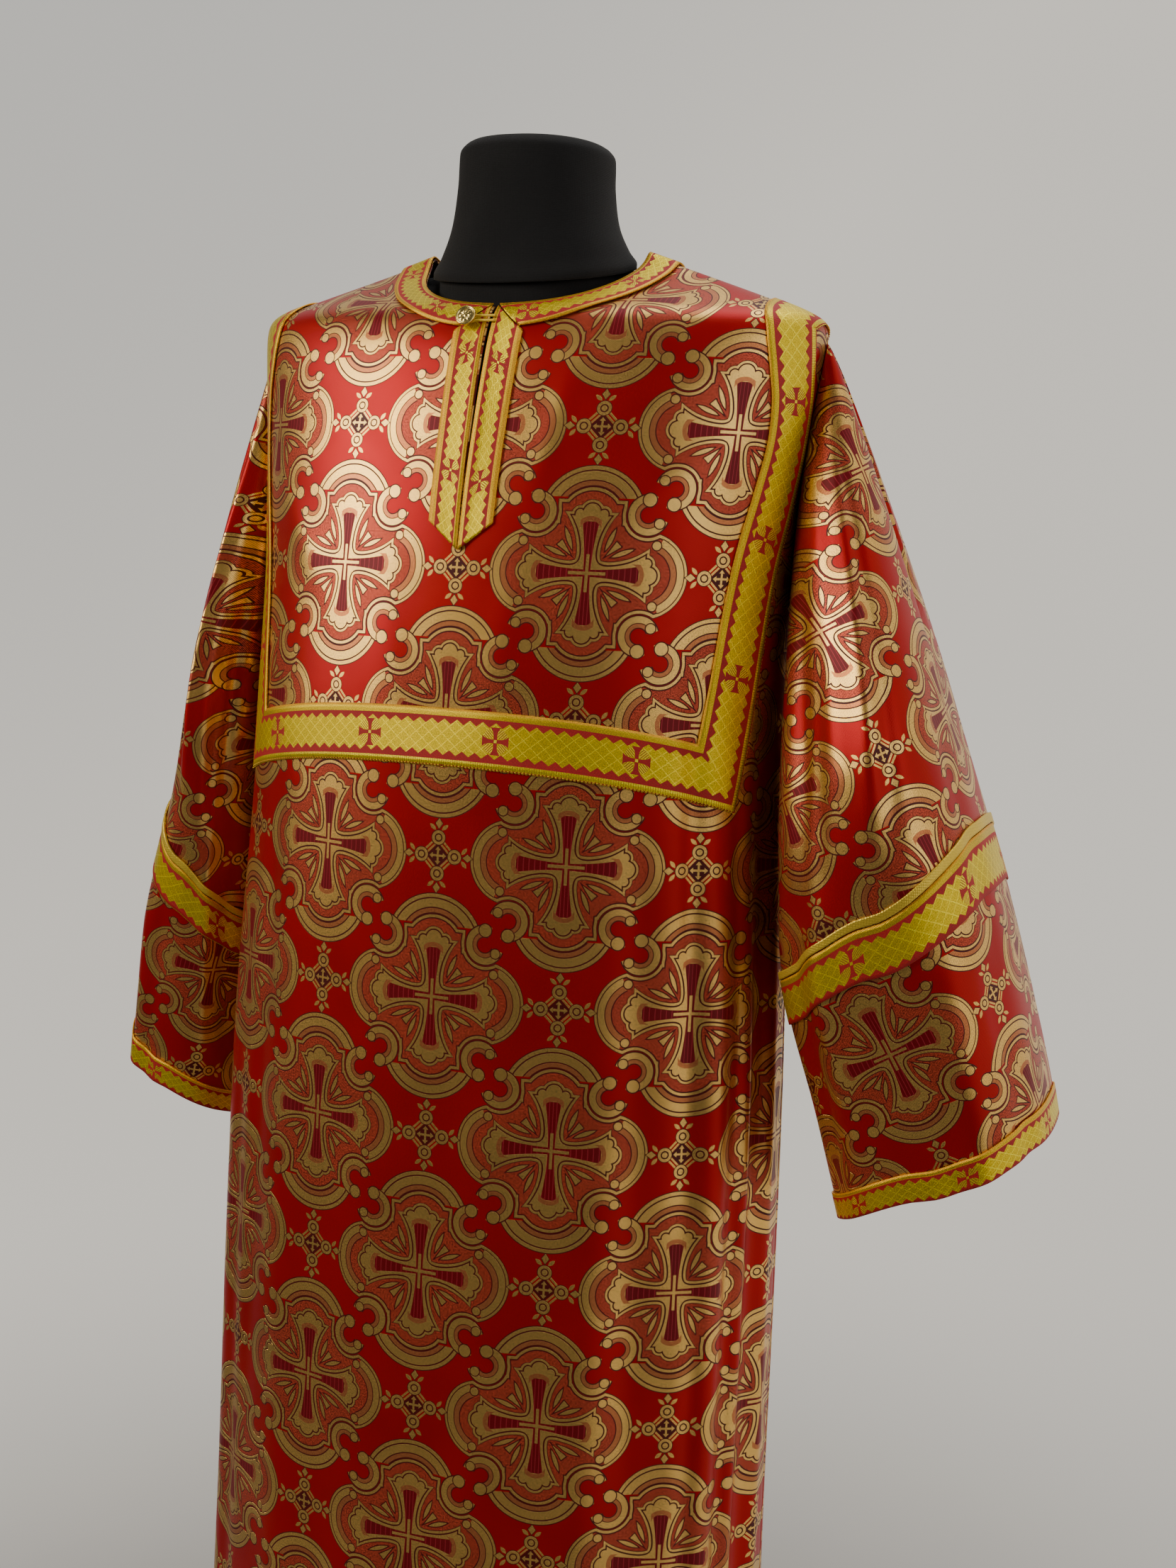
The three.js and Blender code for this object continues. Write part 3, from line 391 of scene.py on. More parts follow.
# Small pulls on the chest, shoulders and round the slit: place, tilt, half length, half width, depth.
chestPulls = rows(
    "facing x z tilt long wide deep",
    (-1, 0.118, 1.345, 24, 0.050, 0.0110, 0.0011),
    (-1, 0.150, 1.300, 38, 0.060, 0.0120, 0.0013),
    (-1, 0.095, 1.230, 62, 0.055, 0.0140, 0.0010),
    (-1, 0.060, 1.330, 78, 0.040, 0.0100, 0.0009),
    (-1, -0.105, 1.325, -30, 0.050, 0.0120, 0.0012),
    (-1, -0.140, 1.250, -52, 0.055, 0.0130, 0.0012),
    (-1, 0.040, 1.180, 84, 0.050, 0.0150, 0.0009),
    (-1, -0.050, 1.175, -80, 0.050, 0.0150, 0.0009),
    (1, 0.110, 1.330, 30, 0.060, 0.0130, 0.0012),
    (1, -0.120, 1.290, -40, 0.060, 0.0130, 0.0012),
    (1, 0.030, 1.230, 80, 0.060, 0.0150, 0.0010))

def turnOf(x, z, facing):
    share = np.clip(np.abs(x) / halfWidthAt(z), 0, 1)
    turn = np.degrees(np.arcsin(share ** (body["sectionPower"] / 2)))
    return np.where(x < 0, -1, 1) * (turn if facing < 0 else 180 - turn)

def reliefAt(x, z, facing):
    turn = turnOf(x, z, facing)
    height = foldAt(turn, z)
    for c in creases:
        down = (c["high"] - z) / (c["high"] - c["low"])
        across = (turn - c["turn"] - c["drift"] * (down - 0.4)) / c["wide"]
        foot = 1 if c["low"] < 0.1 else smooth((1.12 - down) * 2.4)
        height = height + c["deep"] * np.exp(-across * across) * smooth(down * 3.2) * foot
    for c in chestPulls:
        if c["facing"] == facing:
            tilt = math.radians(c["tilt"])
            dx, dz = x - c["x"], z - c["z"]
            along = (dx * math.cos(tilt) + dz * math.sin(tilt)) / c["long"]
            off = (dz * math.cos(tilt) - dx * math.sin(tilt)) / c["wide"]
            height = height + c["deep"] * np.exp(-along * along - off * off)
    return height

def onCloth(p, facing):
    relief = reliefAt(p[..., 0], p[..., 2], facing) * smooth((armTopZ + 0.012 - p[..., 2]) / 0.03)
    return p + bodyNormal(p, facing) * relief[..., None]

def panel(name, facing, cloth, lining):
    s = np.linspace(-1, 1, 2 * body["columns"] + 1)
    middle = body["columns"]
    if facing < 0:
        s = np.insert(s, middle, 0.0)
    yoke = (np.linspace(0, 1, body["yokeRows"] + 1) ** body["yokeEase"])[:, None]
    above = yokePoint(facing, s[None, :], yoke)
    levels = np.linspace(body["underarmZ"], body["hemZ"], body["skirtRows"] + 1)[1:, None]
    turns = s * 90 if facing < 0 else np.where(s < 0, -1, 1) * (180 - np.abs(s) * 90)
    below = bodyAtAngle(turns[None, :], levels)
    below[..., 1] += facing * body["seamGap"] * 0.5
    points = np.concatenate([above, below])
    x, z = points[..., 0], points[..., 2]
    uv = np.stack([arcAcross(x, z, facing), clothHeight(z, facing)], axis=-1)
    points = onCloth(points, facing)
    if facing < 0:
        side = np.where(np.arange(len(s)) <= middle, -1, 1)[None, :]
        above = z - body["slitFoot"]
        opened = np.clip(above / (body["slitTop"] - body["slitFoot"]), 0, 1.1)
        gap = lerp(body["slitGapFoot"], body["slitGapTop"], opened) * smooth(above / body["slitClose"])
        points[..., 0] += side * gap / 2 * np.exp(-np.abs(x) / body["slitSpread"])
        closed = z[:, middle] < body["slitFoot"]
        points[closed, middle + 1] = points[closed, middle]
    obj = gridMesh(name, points, uv, cloth, splitAt=middle if facing < 0 else None)
    facesOutward(obj, lambda p: bodyNormal(p, facing))
    weld(obj)
    area = sum(polygon.area for polygon in obj.data.polygons)
    thicken(obj, body["wall"], -1, lining)
    settle(obj, "brocade", name)
    return obj, area

sleeves = {
    "power": 2.6, "blend": 0.42, "across": 120, "down": 120,
    "folds": rows(
        "angle spread depth start full end",
        (118, 14, -0.009, 0.12, 0.34, 0.62),
        (78, 16, 0.004, 0.10, 0.30, 0.70),
        (236, 16, -0.007, 0.12, 0.32, 0.60),
        (285, 18, 0.004, 0.10, 0.40, 0.80)),
    # soft creases: where round the sleeve, from where to where along it, drift, width, depth
    "creases": rows(
        "angle start end drift wide deep",
        (52, 0.10, 0.60, 26, 7, -0.0030),
        (66, 0.16, 0.60, 24, 6, 0.0026),
        (96, 0.22, 0.63, 20, 7, -0.0032),
        (110, 0.30, 0.96, 8, 6, 0.0030),
        (128, 0.46, 0.97, 10, 7, -0.0034),
        (84, 0.66, 0.99, -6, 8, -0.0024),
        (60, 0.68, 0.99, 4, 9, 0.0024),
        (38, 0.70, 0.99, -6, 8, -0.0022),
        (20, 0.34, 0.98, 8, 9, -0.0018),
        (150, 0.40, 0.99, 6, 8, 0.0030),
        (200, 0.30, 0.90, -8, 8, -0.0034),
        (222, 0.50, 0.99, 8, 7, 0.0028),
        (252, 0.14, 0.66, -20, 8, -0.0030),
        (270, 0.40, 0.98, 10, 8, 0.0026),
        (300, 0.30, 0.94, -8, 9, -0.0024),
        (330, 0.55, 0.99, 6, 9, 0.0020)),
    "left": {
        "side": 1, "cuffOuterZ": 0.864, "cuffInnerZ": 0.782, "band": (0.615, 0.685),
        "flat": (0.57, 0.61),
        "grain": {"turn": 15, "wide": 1.06, "long": 1.15, "u": 0.096, "v": 0.036},
        "sections": rows(
            "z outer inner middleY halfDepth",
            (0.760, 0.430, 0.284, 0.008, 0.082),
            (0.858, 0.418, 0.256, 0.003, 0.086),
            (0.950, 0.395, 0.229, -0.004, 0.091),
            (1.050, 0.363, 0.218, -0.006, 0.094),
            (1.150, 0.326, 0.214, -0.003, 0.088),
            (1.250, 0.289, 0.212, 0.003, 0.070),
            (1.350, 0.254, 0.212, 0.008, 0.044),
            (1.412, 0.227, 0.212, 0.008, 0.024)),
    },
    "right": {
        "side": -1, "cuffOuterZ": 0.826, "cuffInnerZ": 0.764, "band": (0.632, 0.700),
        "flat": (0.49, 0.63),
        "grain": {"turn": 5, "wide": 1.05, "long": 1.10, "u": 0.150, "v": 0.054},
        "sections": rows(
            "z outer inner middleY halfDepth",
            (0.760, 0.356, 0.244, 0.062, 0.090),
            (0.858, 0.342, 0.232, 0.054, 0.091),
            (0.950, 0.324, 0.223, 0.045, 0.092),
            (1.050, 0.291, 0.217, 0.035, 0.090),
            (1.150, 0.271, 0.214, 0.026, 0.082),
            (1.250, 0.253, 0.212, 0.018, 0.066),
            (1.350, 0.239, 0.212, 0.012, 0.042),
            (1.412, 0.227, 0.212, 0.008, 0.024)),
    },
    "cuffFrom": 0.958, "cuffTo": 0.999,
    "pipingFrom": 0.014, "pipingTo": 0.002,     # above the band, as shares of the length
}

def armholeEdge(turn, side):
    facings = []
    for facing in (-1, 1):
        fall = turn if facing < 0 else 360 - turn
        t = (np.clip(fall, 0, 180) / 180) ** body["yokeEase"]
        edge = yokePoint(facing, np.full_like(turn, side), t)
        inward = yokePoint(facing, np.full_like(turn, side * (1 - 1 / 12)), t)
        away = unit(unit(edge - inward) + np.array([side * 0.5, 0, 0])) * body["armholeGap"]
        facings.append((edge, edge + away))
    front, back = facings
    between = (front[0] + back[0]) / 2 + np.array([side * body["armholeGap"], 0, -0.0002])
    atFront = (turn < 180)[:, None]
    seam = (np.minimum(turn % 180, 180 - turn % 180) < 0.01)[:, None]
    return np.where(seam, between, np.where(atFront, front[1], back[1]))

def clearOfBody(p, side, clearance):
    z = p[..., 2]
    front = p[..., 1] < seamYAt(z)
    depth = np.where(front, depthAt(z, -1), depthAt(z, 1))
    forward = np.minimum(1, np.abs(p[..., 1] - seamYAt(z)) / depth)
    power = body["sectionPower"]
    wallX = halfWidthAt(z) * np.maximum(0, 1 - forward ** power) ** (1 / power) + clearance
    moved = side * np.maximum(side * p[..., 0], wallX)
    p = p.copy()
    p[..., 0] = np.where(z > body["underarmZ"] + 0.002, p[..., 0], moved)
    return p

def sleeveGrid(spec):
    side = spec["side"]
    turn = np.linspace(0, 360, sleeves["across"], endpoint=False)
    edge = armholeEdge(turn, side)[None]
    u = np.linspace(0, 1, sleeves["down"] + 1)[:, None]
    cosine, sine = np.cos(np.radians(turn))[None], np.sin(np.radians(turn))[None]
    outerZ = lerp(armTopZ, spec["cuffOuterZ"], u)
    innerZ = lerp(body["underarmZ"], spec["cuffInnerZ"], u)
    z = lerp(innerZ, outerZ, 0.5 + 0.5 * cosine)
    power = 2 / sleeves["power"]
    outer, inner, middleY, halfDepth = (
        columnAt(spec["sections"], name, z) for name in ("outer", "inner", "middleY", "halfDepth"))
    x = side * lerp(inner, outer, 0.5 + 0.5 * signedPower(cosine, power))
    y = middleY - halfDepth * signedPower(sine, power)
    depth = np.zeros_like(z)
    for fold in sleeves["folds"]:
        across = (turn[None] - fold["angle"]) / fold["spread"]
        rise = smooth((u - fold["start"]) / (fold["full"] - fold["start"]))
        fall = 1 - smooth((u - fold["full"]) / (fold["end"] - fold["full"]))
        depth = depth + fold["depth"] * np.exp(-across * across) * rise * fall
    for crease in sleeves["creases"]:
        down = (u - crease["start"]) / (crease["end"] - crease["start"])
        across = (turn[None] - crease["angle"] - crease["drift"] * down + 180) % 360 - 180
        across = across / crease["wide"]
        ends = 1 if crease["end"] > 0.98 else smooth((1 - down) * 3)
        depth = depth + crease["deep"] * np.exp(-across * across) * smooth(down * 3) * ends
    x = x + side * depth * cosine
    y = y - depth * sine
    mixed = lerp(edge, xyz(x, y, z), smooth(u / sleeves["blend"])[..., None])
    clearance = lerp(body["armholeGap"] + 0.0003, 0.0016, np.clip(u * 8, 0, 1))
    points = np.concatenate([edge, clearOfBody(mixed, side, clearance)[1:]])
    # the columns start at the underarm seam
    points = np.roll(points, -(sleeves["across"] // 2), axis=1)
    return points, points.mean(axis=1)

# The pattern runs along the sleeve and is measured round from a line a little in front of its top.
def sleeveUV(spec, points, axis):
    heading = unit(np.gradient(axis, axis=0))
    along = np.concatenate([[0], np.cumsum(np.linalg.norm(np.diff(axis, axis=0), axis=1))])
    v = along[:, None] + ((points - axis[:, None]) * heading[:, None]).sum(axis=-1)
    step = np.roll(points, -1, axis=1) - points
    step = step - (step * heading[:, None]).sum(axis=-1, keepdims=True) * heading[:, None]
    lengths = np.linalg.norm(step, axis=-1)
    u = np.concatenate([np.zeros((len(lengths), 1)), np.cumsum(lengths, axis=1)], axis=1)
    u = u - u[:, [sleeves["across"] * 5 // 8]]
    v = -np.concatenate([v, v[:, :1]], axis=1)
    lay = spec["grain"]
    c, s = math.cos(math.radians(lay["turn"])), math.sin(math.radians(lay["turn"]))
    return np.stack([(c * u - s * v) * lay["wide"] + lay["u"], (s * u + c * v) * lay["long"] + lay["v"]], -1)

def outwardOf(points, axis):
    across = np.roll(points, -1, axis=1) - np.roll(points, 1, axis=1)
    normals = unit(np.cross(np.gradient(points, axis=0), across))
    facing = np.sign(((points - axis[:, None]) * normals).sum(axis=-1).mean())
    return normals * facing

def sleeve(label, cloth, lining):
    spec = sleeves[label]
    points, axis = sleeveGrid(spec)
    uv = sleeveUV(spec, points, axis)
    obj = gridMesh(f"sleeve_{label}", points, uv, cloth, around=True)
    facesOutward(obj, lambda p: p - axis[np.argmin(np.abs(axis[:, 2] - p[2]))])
    area = sum(polygon.area for polygon in obj.data.polygons)
    thicken(obj, body["wall"], -1, lining)
    settle(obj, "brocade", f"sleeve_{label}")
    return obj, area, points, outwardOf(points, axis)

# A strip of trim from rows of points across it; UV runs along it and across it in metres.
def ribbon(name, points, normals, material, lift, wall, slotName, around=False):
    points = points + normals * lift
    steps = np.linalg.norm(np.diff(points[:, points.shape[1] // 2], axis=0), axis=-1)
    along = np.concatenate([[0], np.cumsum(steps)])
    if name in trims["crossAt"]:
        gaps = np.linalg.norm(points[:, points.shape[1] // 2] - np.array(trims["crossAt"][name]), axis=-1)
        along = along - along[np.argmin(gaps)]
    across = np.linalg.norm(np.diff(points, axis=1), axis=-1).mean(axis=0)
    across = np.concatenate([[0], np.cumsum(across)])
    uv = np.stack(np.broadcast_arrays(along[:, None], across[None]), axis=-1)
    obj = gridMesh(name, points, uv, material)
    if around:
        weld(obj, 1e-5)
    centre = len(points) // 2
    mean = normals[centre].mean(axis=0)
    middle = points[centre].mean(axis=0)
    polygon = min(obj.data.polygons, key=lambda f: (f.center - Vector(middle)).length)
    if polygon.normal.dot(Vector(mean)) < 0:
        obj.data.flip_normals()
    thicken(obj, wall, 1)
    return settle(obj, slotName, name)

trims = {
    "wall": 0.0011, "pipingWall": 0.002, "lift": 0.0005, "yokeLift": 0.0007, "neckLift": 0.0014,
    "narrow": 0.024, "wide": 0.040,
    "neckFirst": {-1: 0.10, 1: 0.003},      # share of the neck's edge left free at the centre line
    "stripRows": 91, "bandRows": 181, "neckRows": 64, "placketRows": 81, "mitreRows": 8,
    "wideColumns": 13, "narrowColumns": 9, "pipingColumns": 6,
    "mitreX": 0.0023, "mitreTopZ": 1.4146, "mitreFootZ": 1.396, "placketTipZ": 1.243,
    "yokeSeamX": 0.2015,
    "yokeFront": ((0.203, 1.412), (0.2055, 1.400), (0.2075, 1.380), (0.2085, 1.354), (0.206, 1.320),
                  (0.201, 1.285), (0.195, 1.248), (0.190, 1.200), (0.187, 1.155), (0.182, 1.095)),
    "yokeBack": ((0.201, 1.412), (0.199, 1.400), (0.196, 1.380), (0.193, 1.354), (0.190, 1.315),
                 (0.188, 1.275), (0.187, 1.240), (0.187, 1.200), (0.186, 1.155), (0.182, 1.095)),
    "pastCorner": (0.178, 1.068),
    "bandMiddleZ": 1.114,
    # where one woven cross stands on each galloon; the others follow at the braid's own repeat
    "stripCrossZ": 1.354, "bandCrossX": 0.039,
    "crossAt": {
        "neck_galloon_left": (0.090, -0.030, 1.437), "neck_galloon_right": (-0.045, -0.061, 1.413),
        "neck_galloon_back_left": (0.040, 0.060, 1.440), "neck_galloon_back_right": (-0.040, 0.060, 1.440),
        "placket_galloon_left": (0.013, -0.075, 1.368), "placket_galloon_right": (-0.015, -0.075, 1.376),
        "cuff_galloon_left": (0.369, -0.087, 0.854), "cuff_galloon_right": (-0.300, -0.030, 0.810),
        "sleeve_band_left": (0.352, -0.069, 1.048), "sleeve_band_right": (-0.300, -0.030, 1.000),
    },
}

# Centripetal Catmull-Rom line through the guides, with its length table.
class GuideLine:
    def __init__(self, guides):
        guides = np.array(guides, dtype=float)
        ends = np.vstack([2 * guides[0] - guides[1], guides, 2 * guides[-1] - guides[-2]])
        points = []
        for k in range(1, len(ends) - 2):
            p0, p1, p2, p3 = ends[k - 1:k + 3]
            d0, d1, d2 = (np.sum((b - a) ** 2) ** 0.25 for a, b in ((p0, p1), (p1, p2), (p2, p3)))
            m1 = ((p1 - p0) / d0 - (p2 - p0) / (d0 + d1) + (p2 - p1) / d1) * d1
            m2 = ((p2 - p1) / d1 - (p3 - p1) / (d1 + d2) + (p3 - p2) / d2) * d1
            t = np.linspace(0, 1, 60)[:, None]
            a, b = 2 * p1 - 2 * p2 + m1 + m2, -3 * p1 + 3 * p2 - 2 * m1 - m2
            points.append(a * t ** 3 + b * t ** 2 + m1 * t + p1)
        self.points = np.vstack(points)
        steps = np.linalg.norm(np.diff(self.points, axis=0), axis=1)
        self.lengths = np.concatenate([[0], np.cumsum(steps)])
        self.whole = self.lengths[-1]
        self.tangents = unit(np.gradient(self.points, axis=0))

    def at(self, share, values=None):
        values = self.points if values is None else values
        return np.stack([np.interp(share * self.whole, self.lengths, values[:, k]) for k in range(3)], -1)

def clothTrim(points, facing):
    points = points.copy()
    normals = bodyNormal(points, facing)
    points[..., 1] += facing * body["seamGap"] * 0.5
    laid = onCloth(points, facing)
    return laid, normals

# One strip of the yoke galloon, inside the left armhole. Its columns end at a slant: the mitre.
def yokeStrip(facing, across):
    seam = np.array([trims["yokeSeamX"]])
    guides = [bodyAcross(seam, seamHeight(seam), facing)[0]]
    line = trims["yokeFront"] if facing < 0 else trims["yokeBack"]
    guides += [bodyAcross(np.array([x]), np.array([z]), facing)[0] for x, z in line]
    toCorner = GuideLine(guides).whole
    x, z = trims["pastCorner"]
    guides.append(bodyAcross(np.array([x]), np.array([z]), facing)[0])
    fall = GuideLine(guides)
    down = np.linspace(0, 1, trims["stripRows"])[:, None] * (toCorner + across)
    place = np.minimum(0.995, down / fall.whole)
    centre = ontoBody(fall.at(place), facing)
    outward = unit(np.cross(fall.at(place, fall.tangents), bodyNormal(centre, facing)))
    outward = outward * np.where(outward[..., :1] < 0, -1, 1)
    strip = walkOnBody(centre, outward, np.broadcast_to(across, place.shape), facing, 8)
    strip[0, :, 1] = seamYAt(strip[0, :, 2])
    strip[0, :, 2] = seamHeight(strip[0, :, 0])
    return strip, down

# The band across the chest, from one mitre to the other.
def yokeBand(facing, across, ends):
    share = np.linspace(1, -1, trims["bandRows"])[:, None]
    z = lerp(trims["bandMiddleZ"] - across, ends[None, :, 2], share * share)
    full = np.arcsin((ends[:, 0] / halfWidthAt(ends[:, 2])) ** (body["sectionPower"] / 2))[None]
    x = halfWidthAt(z) * signedPower(np.sin(full * share), 2 / body["sectionPower"])
    return bodyAcross(x, z, facing)

def yokeTrim(facing, material):
    name = "yoke_galloon_front" if facing < 0 else "yoke_galloon_back"
    middle = trims["wideColumns"] // 2
    across = np.linspace(-0.5, 0.5, trims["wideColumns"])[None, :] * trims["wide"]
    strip, down = yokeStrip(facing, across)
    band = yokeBand(facing, across, strip[-1])
    mirror = np.array([-1, 1, 1])
    parts = []
    for points, along in ((strip, down), (strip * mirror, down), (band, None)):
        laid, normals = clothTrim(points, facing)
        if along is None:
            along = arcAcross(points[..., 0], points[..., 2], facing)
            cross = np.argmin(np.abs(points[:, middle, 0] - trims["bandCrossX"]))
        else:
            top = normals[0] * np.array([1, 0, 1])
            normals[0] = unit(top)
            cross = np.argmin(np.abs(points[:, middle, 2] - trims["stripCrossZ"]))
        along = along - along[cross, middle]
        uv = np.stack(np.broadcast_arrays(along, across + trims["wide"] / 2), axis=-1)
        part = gridMesh("part", laid + normals * trims["yokeLift"], uv, material)
        facesOutward(part, lambda p: bodyNormal(p, facing))
        parts.append(part)
    obj = join(name, parts)
    weld(obj, 2e-5)
    thicken(obj, trims["wall"], 1)
    lift = trims["yokeLift"] + trims["wall"] * 0.5
    edge = np.concatenate([strip[1:, -1], band[1:-1, -1], strip[:0:-1, -1] * mirror])
    edge, normals = clothTrim(edge, facing)
    return settle(obj, "galloon", name), picotEdge(name + "_picots", edge + normals * lift)

def neckTrim(facing, side, material):
    name = "neck_galloon" + ("_back" if facing > 0 else "") + ("_left" if side > 0 else "_right")

    def edgeAt(share):
        x, z = neckRim(share, facing)
        return ontoBody(bodyAcross(side * x, z, facing), facing)

    first = trims["neckFirst"][facing]
    shares = first + (1 - first) * np.sin(np.linspace(0, 1, trims["neckRows"]) * np.pi / 2)
    edge = edgeAt(shares)
    near, far = edgeAt(np.maximum(0, shares - 0.02)), edgeAt(np.minimum(1, shares + 0.02))
    # across the galloon is square to the edge, and along the seam at the shoulder
    outward = np.cross(unit(far - near), bodyNormal(edge, facing))
    outward = outward * np.where((outward[:, 2:] > 0) | (outward[:, :1] * side < -0.2), -1, 1)
    slope = (body["neckZ"] - body["tipZ"]) / (body["tipX"] - body["neckX"])
    outward[-1] = (side, 0, -slope)
    blend = smooth((shares - 0.97) / 0.03)[:, None]
    outward = unit(unit(outward) * (1 - blend) + unit(outward[-1]) * blend)
    if facing > 0:
        outward[0, 0] = 0
        outward = unit(outward)
    lines = [edge]
    for _ in range(trims["narrowColumns"] - 1):
        step = np.full(len(edge), trims["narrow"] / (trims["narrowColumns"] - 1))
        lines.append(walkOnBody(lines[-1], outward, step, facing, 1))
    points = np.stack(lines, axis=1)
    points[-1, :, 1] = seamYAt(points[-1, :, 2])
    points[-1, :, 2] = seamHeight(points[-1, :, 0])
    if facing < 0:
        mitred = mitreLine(side, 0)
        fill = np.linspace(0, 1, trims["mitreRows"])[:-1, None, None]
        start = points[0]
        points = np.concatenate([ontoBody(lerp(mitred[None], start[None], fill), facing), points])
    laid, normals = clothTrim(points, facing)
    top = normals[-1].copy()
    top[:, 1] = 0
    normals[-1] = unit(top)
    laid[..., 0] = np.where(side * laid[..., 0] < 0.0002, side * 0.0002, laid[..., 0])
    return ribbon(name, laid, normals, material, trims["neckLift"], trims["wall"], "galloon")

def mitreLine(side, drop):
    share = np.linspace(0, 1, trims["narrowColumns"])
    z = lerp(trims["mitreTopZ"], trims["mitreFootZ"], share) - drop
    return bodyAcross(side * (trims["mitreX"] + share * trims["narrow"]), z, -1)

def placketTrim(side, material):
    name = "placket_galloon" + ("_left" if side > 0 else "_right")
    start = mitreLine(side, 0.0009)[None]
    down = (np.linspace(0, 1, trims["placketRows"]) ** 1.2)[:, None]
    share = np.linspace(0, 1, trims["narrowColumns"])[None]
    x = np.abs(start[..., 0]) - lerp(0, trims["mitreX"] - 0.00035, down)
    z = lerp(start[..., 2], trims["placketTipZ"] + share * trims["narrow"] * 0.8, down)
    points = bodyAcross(side * x, z, -1)
    laid, normals = clothTrim(points, -1)
    laid[..., 1] -= 0.0012 * np.exp(-((np.abs(laid[..., 0]) - 0.002) / 0.004) ** 2)
    return ribbon(name, laid, normals, material, trims["lift"], trims["wall"], "galloon")

def sleeveTrim(name, points, normals, first, last, rowsAcross, lift, wall, material, slotName):
    place = np.linspace(first, last, rowsAcross) * sleeves["down"]
    low = np.minimum(len(points) - 2, np.floor(place).astype(int))
    share = (place - low)[:, None, None]
    laid = lerp(points[low], points[low + 1], share)
    facing = unit(lerp(normals[low], normals[low + 1], share))
    laid = np.concatenate([laid, laid[:, :1]], axis=1).swapaxes(0, 1)
    facing = np.concatenate([facing, facing[:, :1]], axis=1).swapaxes(0, 1)
    return ribbon(name, laid, facing, material, lift, wall, slotName, around=True)

button = {
    "x": -0.0165, "z": 1.403, "radius": 0.0076, "height": 0.0088, "underside": 0.0057,
    "foot": 0.0032, "shank": 0.0015,
}
loop = {"radius": 0.001, "gap": 0.0034, "start": 0.0045, "lift": 0.0043, "round": 0.0031}

def latheMesh(name, profile, count, material):
    radius = np.array([p[0] for p in profile])[:, None]
    z = np.array([p[1] for p in profile])[:, None]
    turn = np.linspace(0, 2 * np.pi, count, endpoint=False)[None]
    points = xyz(radius * np.cos(turn), radius * np.sin(turn), z)
    uv = np.zeros((len(profile), count + 1, 2))
    obj = gridMesh(name, points, uv, material, around=True)
    weld(obj, 1e-7, closed=True)
    return obj

def ringMesh(name, points, material):
    low, top = points[0].mean(axis=0), points[-1].mean(axis=0)
    wide = points.shape[1]
    points = np.concatenate([np.broadcast_to(low, (1, wide, 3)), points, np.broadcast_to(top, (1, wide, 3))])
    obj = gridMesh(name, points, np.zeros((len(points), wide + 1, 2)), material, around=True)
    weld(obj, 1e-7, closed=True)
    return obj

form = {
    "torso": rows(
        "z halfWidth front back",
        (0.868, 0.150, 0.084, 0.092),
        (0.880, 0.166, 0.097, 0.108),
        (0.950, 0.172, 0.104, 0.116),
        (1.060, 0.146, 0.092, 0.092),
        (1.120, 0.148, 0.096, 0.092),
        (1.215, 0.168, 0.108, 0.100),
        (1.290, 0.182, 0.100, 0.100),
        (1.350, 0.190, 0.086, 0.092),
        (1.385, 0.190, 0.074, 0.085)),
    "shoulders": ((1.400, 0), (1.408, 0.05), (1.416, 0.10), (1.424, 0.15), (1.431, 0.19),
                  (1.437, 0.22), (1.4415, 0.24)),
    "stub": {"halfWidth": 0.070, "front": 0.062, "back": 0.057, "z": 1.4474, "tilt": 0.26},
    "down": 0.0050, "inside": 0.0038, "widest": 0.189,
    "neck": rows(
        "z halfWidth front back tilt",
        (1.448, 0.075, 0.066, 0.061, 0.26),
        (1.452, 0.075, 0.066, 0.061, 0.26),
        (1.461, 0.069, 0.064, 0.057, 0.22),
        (1.480, 0.061, 0.062, 0.050, 0.14),
        (1.506, 0.057, 0.061, 0.046, 0.06),
        (1.529, 0.056, 0.061, 0.045, 0.02),
        (1.536, 0.052, 0.057, 0.041, 0.02)),
    "poleRadius": 0.015, "poleTop": 0.8675, "poleFoot": 0.0365,
    "base": ((0, 0), (0.1465, 0), (0.149, 0.0008), (0.150, 0.0025), (0.150, 0.0062), (0.1490, 0.0082),
             (0.146, 0.0092), (0.100, 0.0104), (0.060, 0.0114), (0.030, 0.0124), (0.0262, 0.0132),
             (0.0244, 0.0150), (0.0240, 0.018), (0.0240, 0.0325), (0.0232, 0.0350), (0.0208, 0.036),
             (0, 0.036)),
}

def reachAt(halfWidth, front, back, turn):
    power = body["sectionPower"]
    depth = np.where(np.cos(turn) >= 0, front, back)
    across = np.abs(np.sin(turn) / halfWidth) ** power
    return (across + np.abs(np.cos(turn) / depth) ** power) ** (-1 / power)

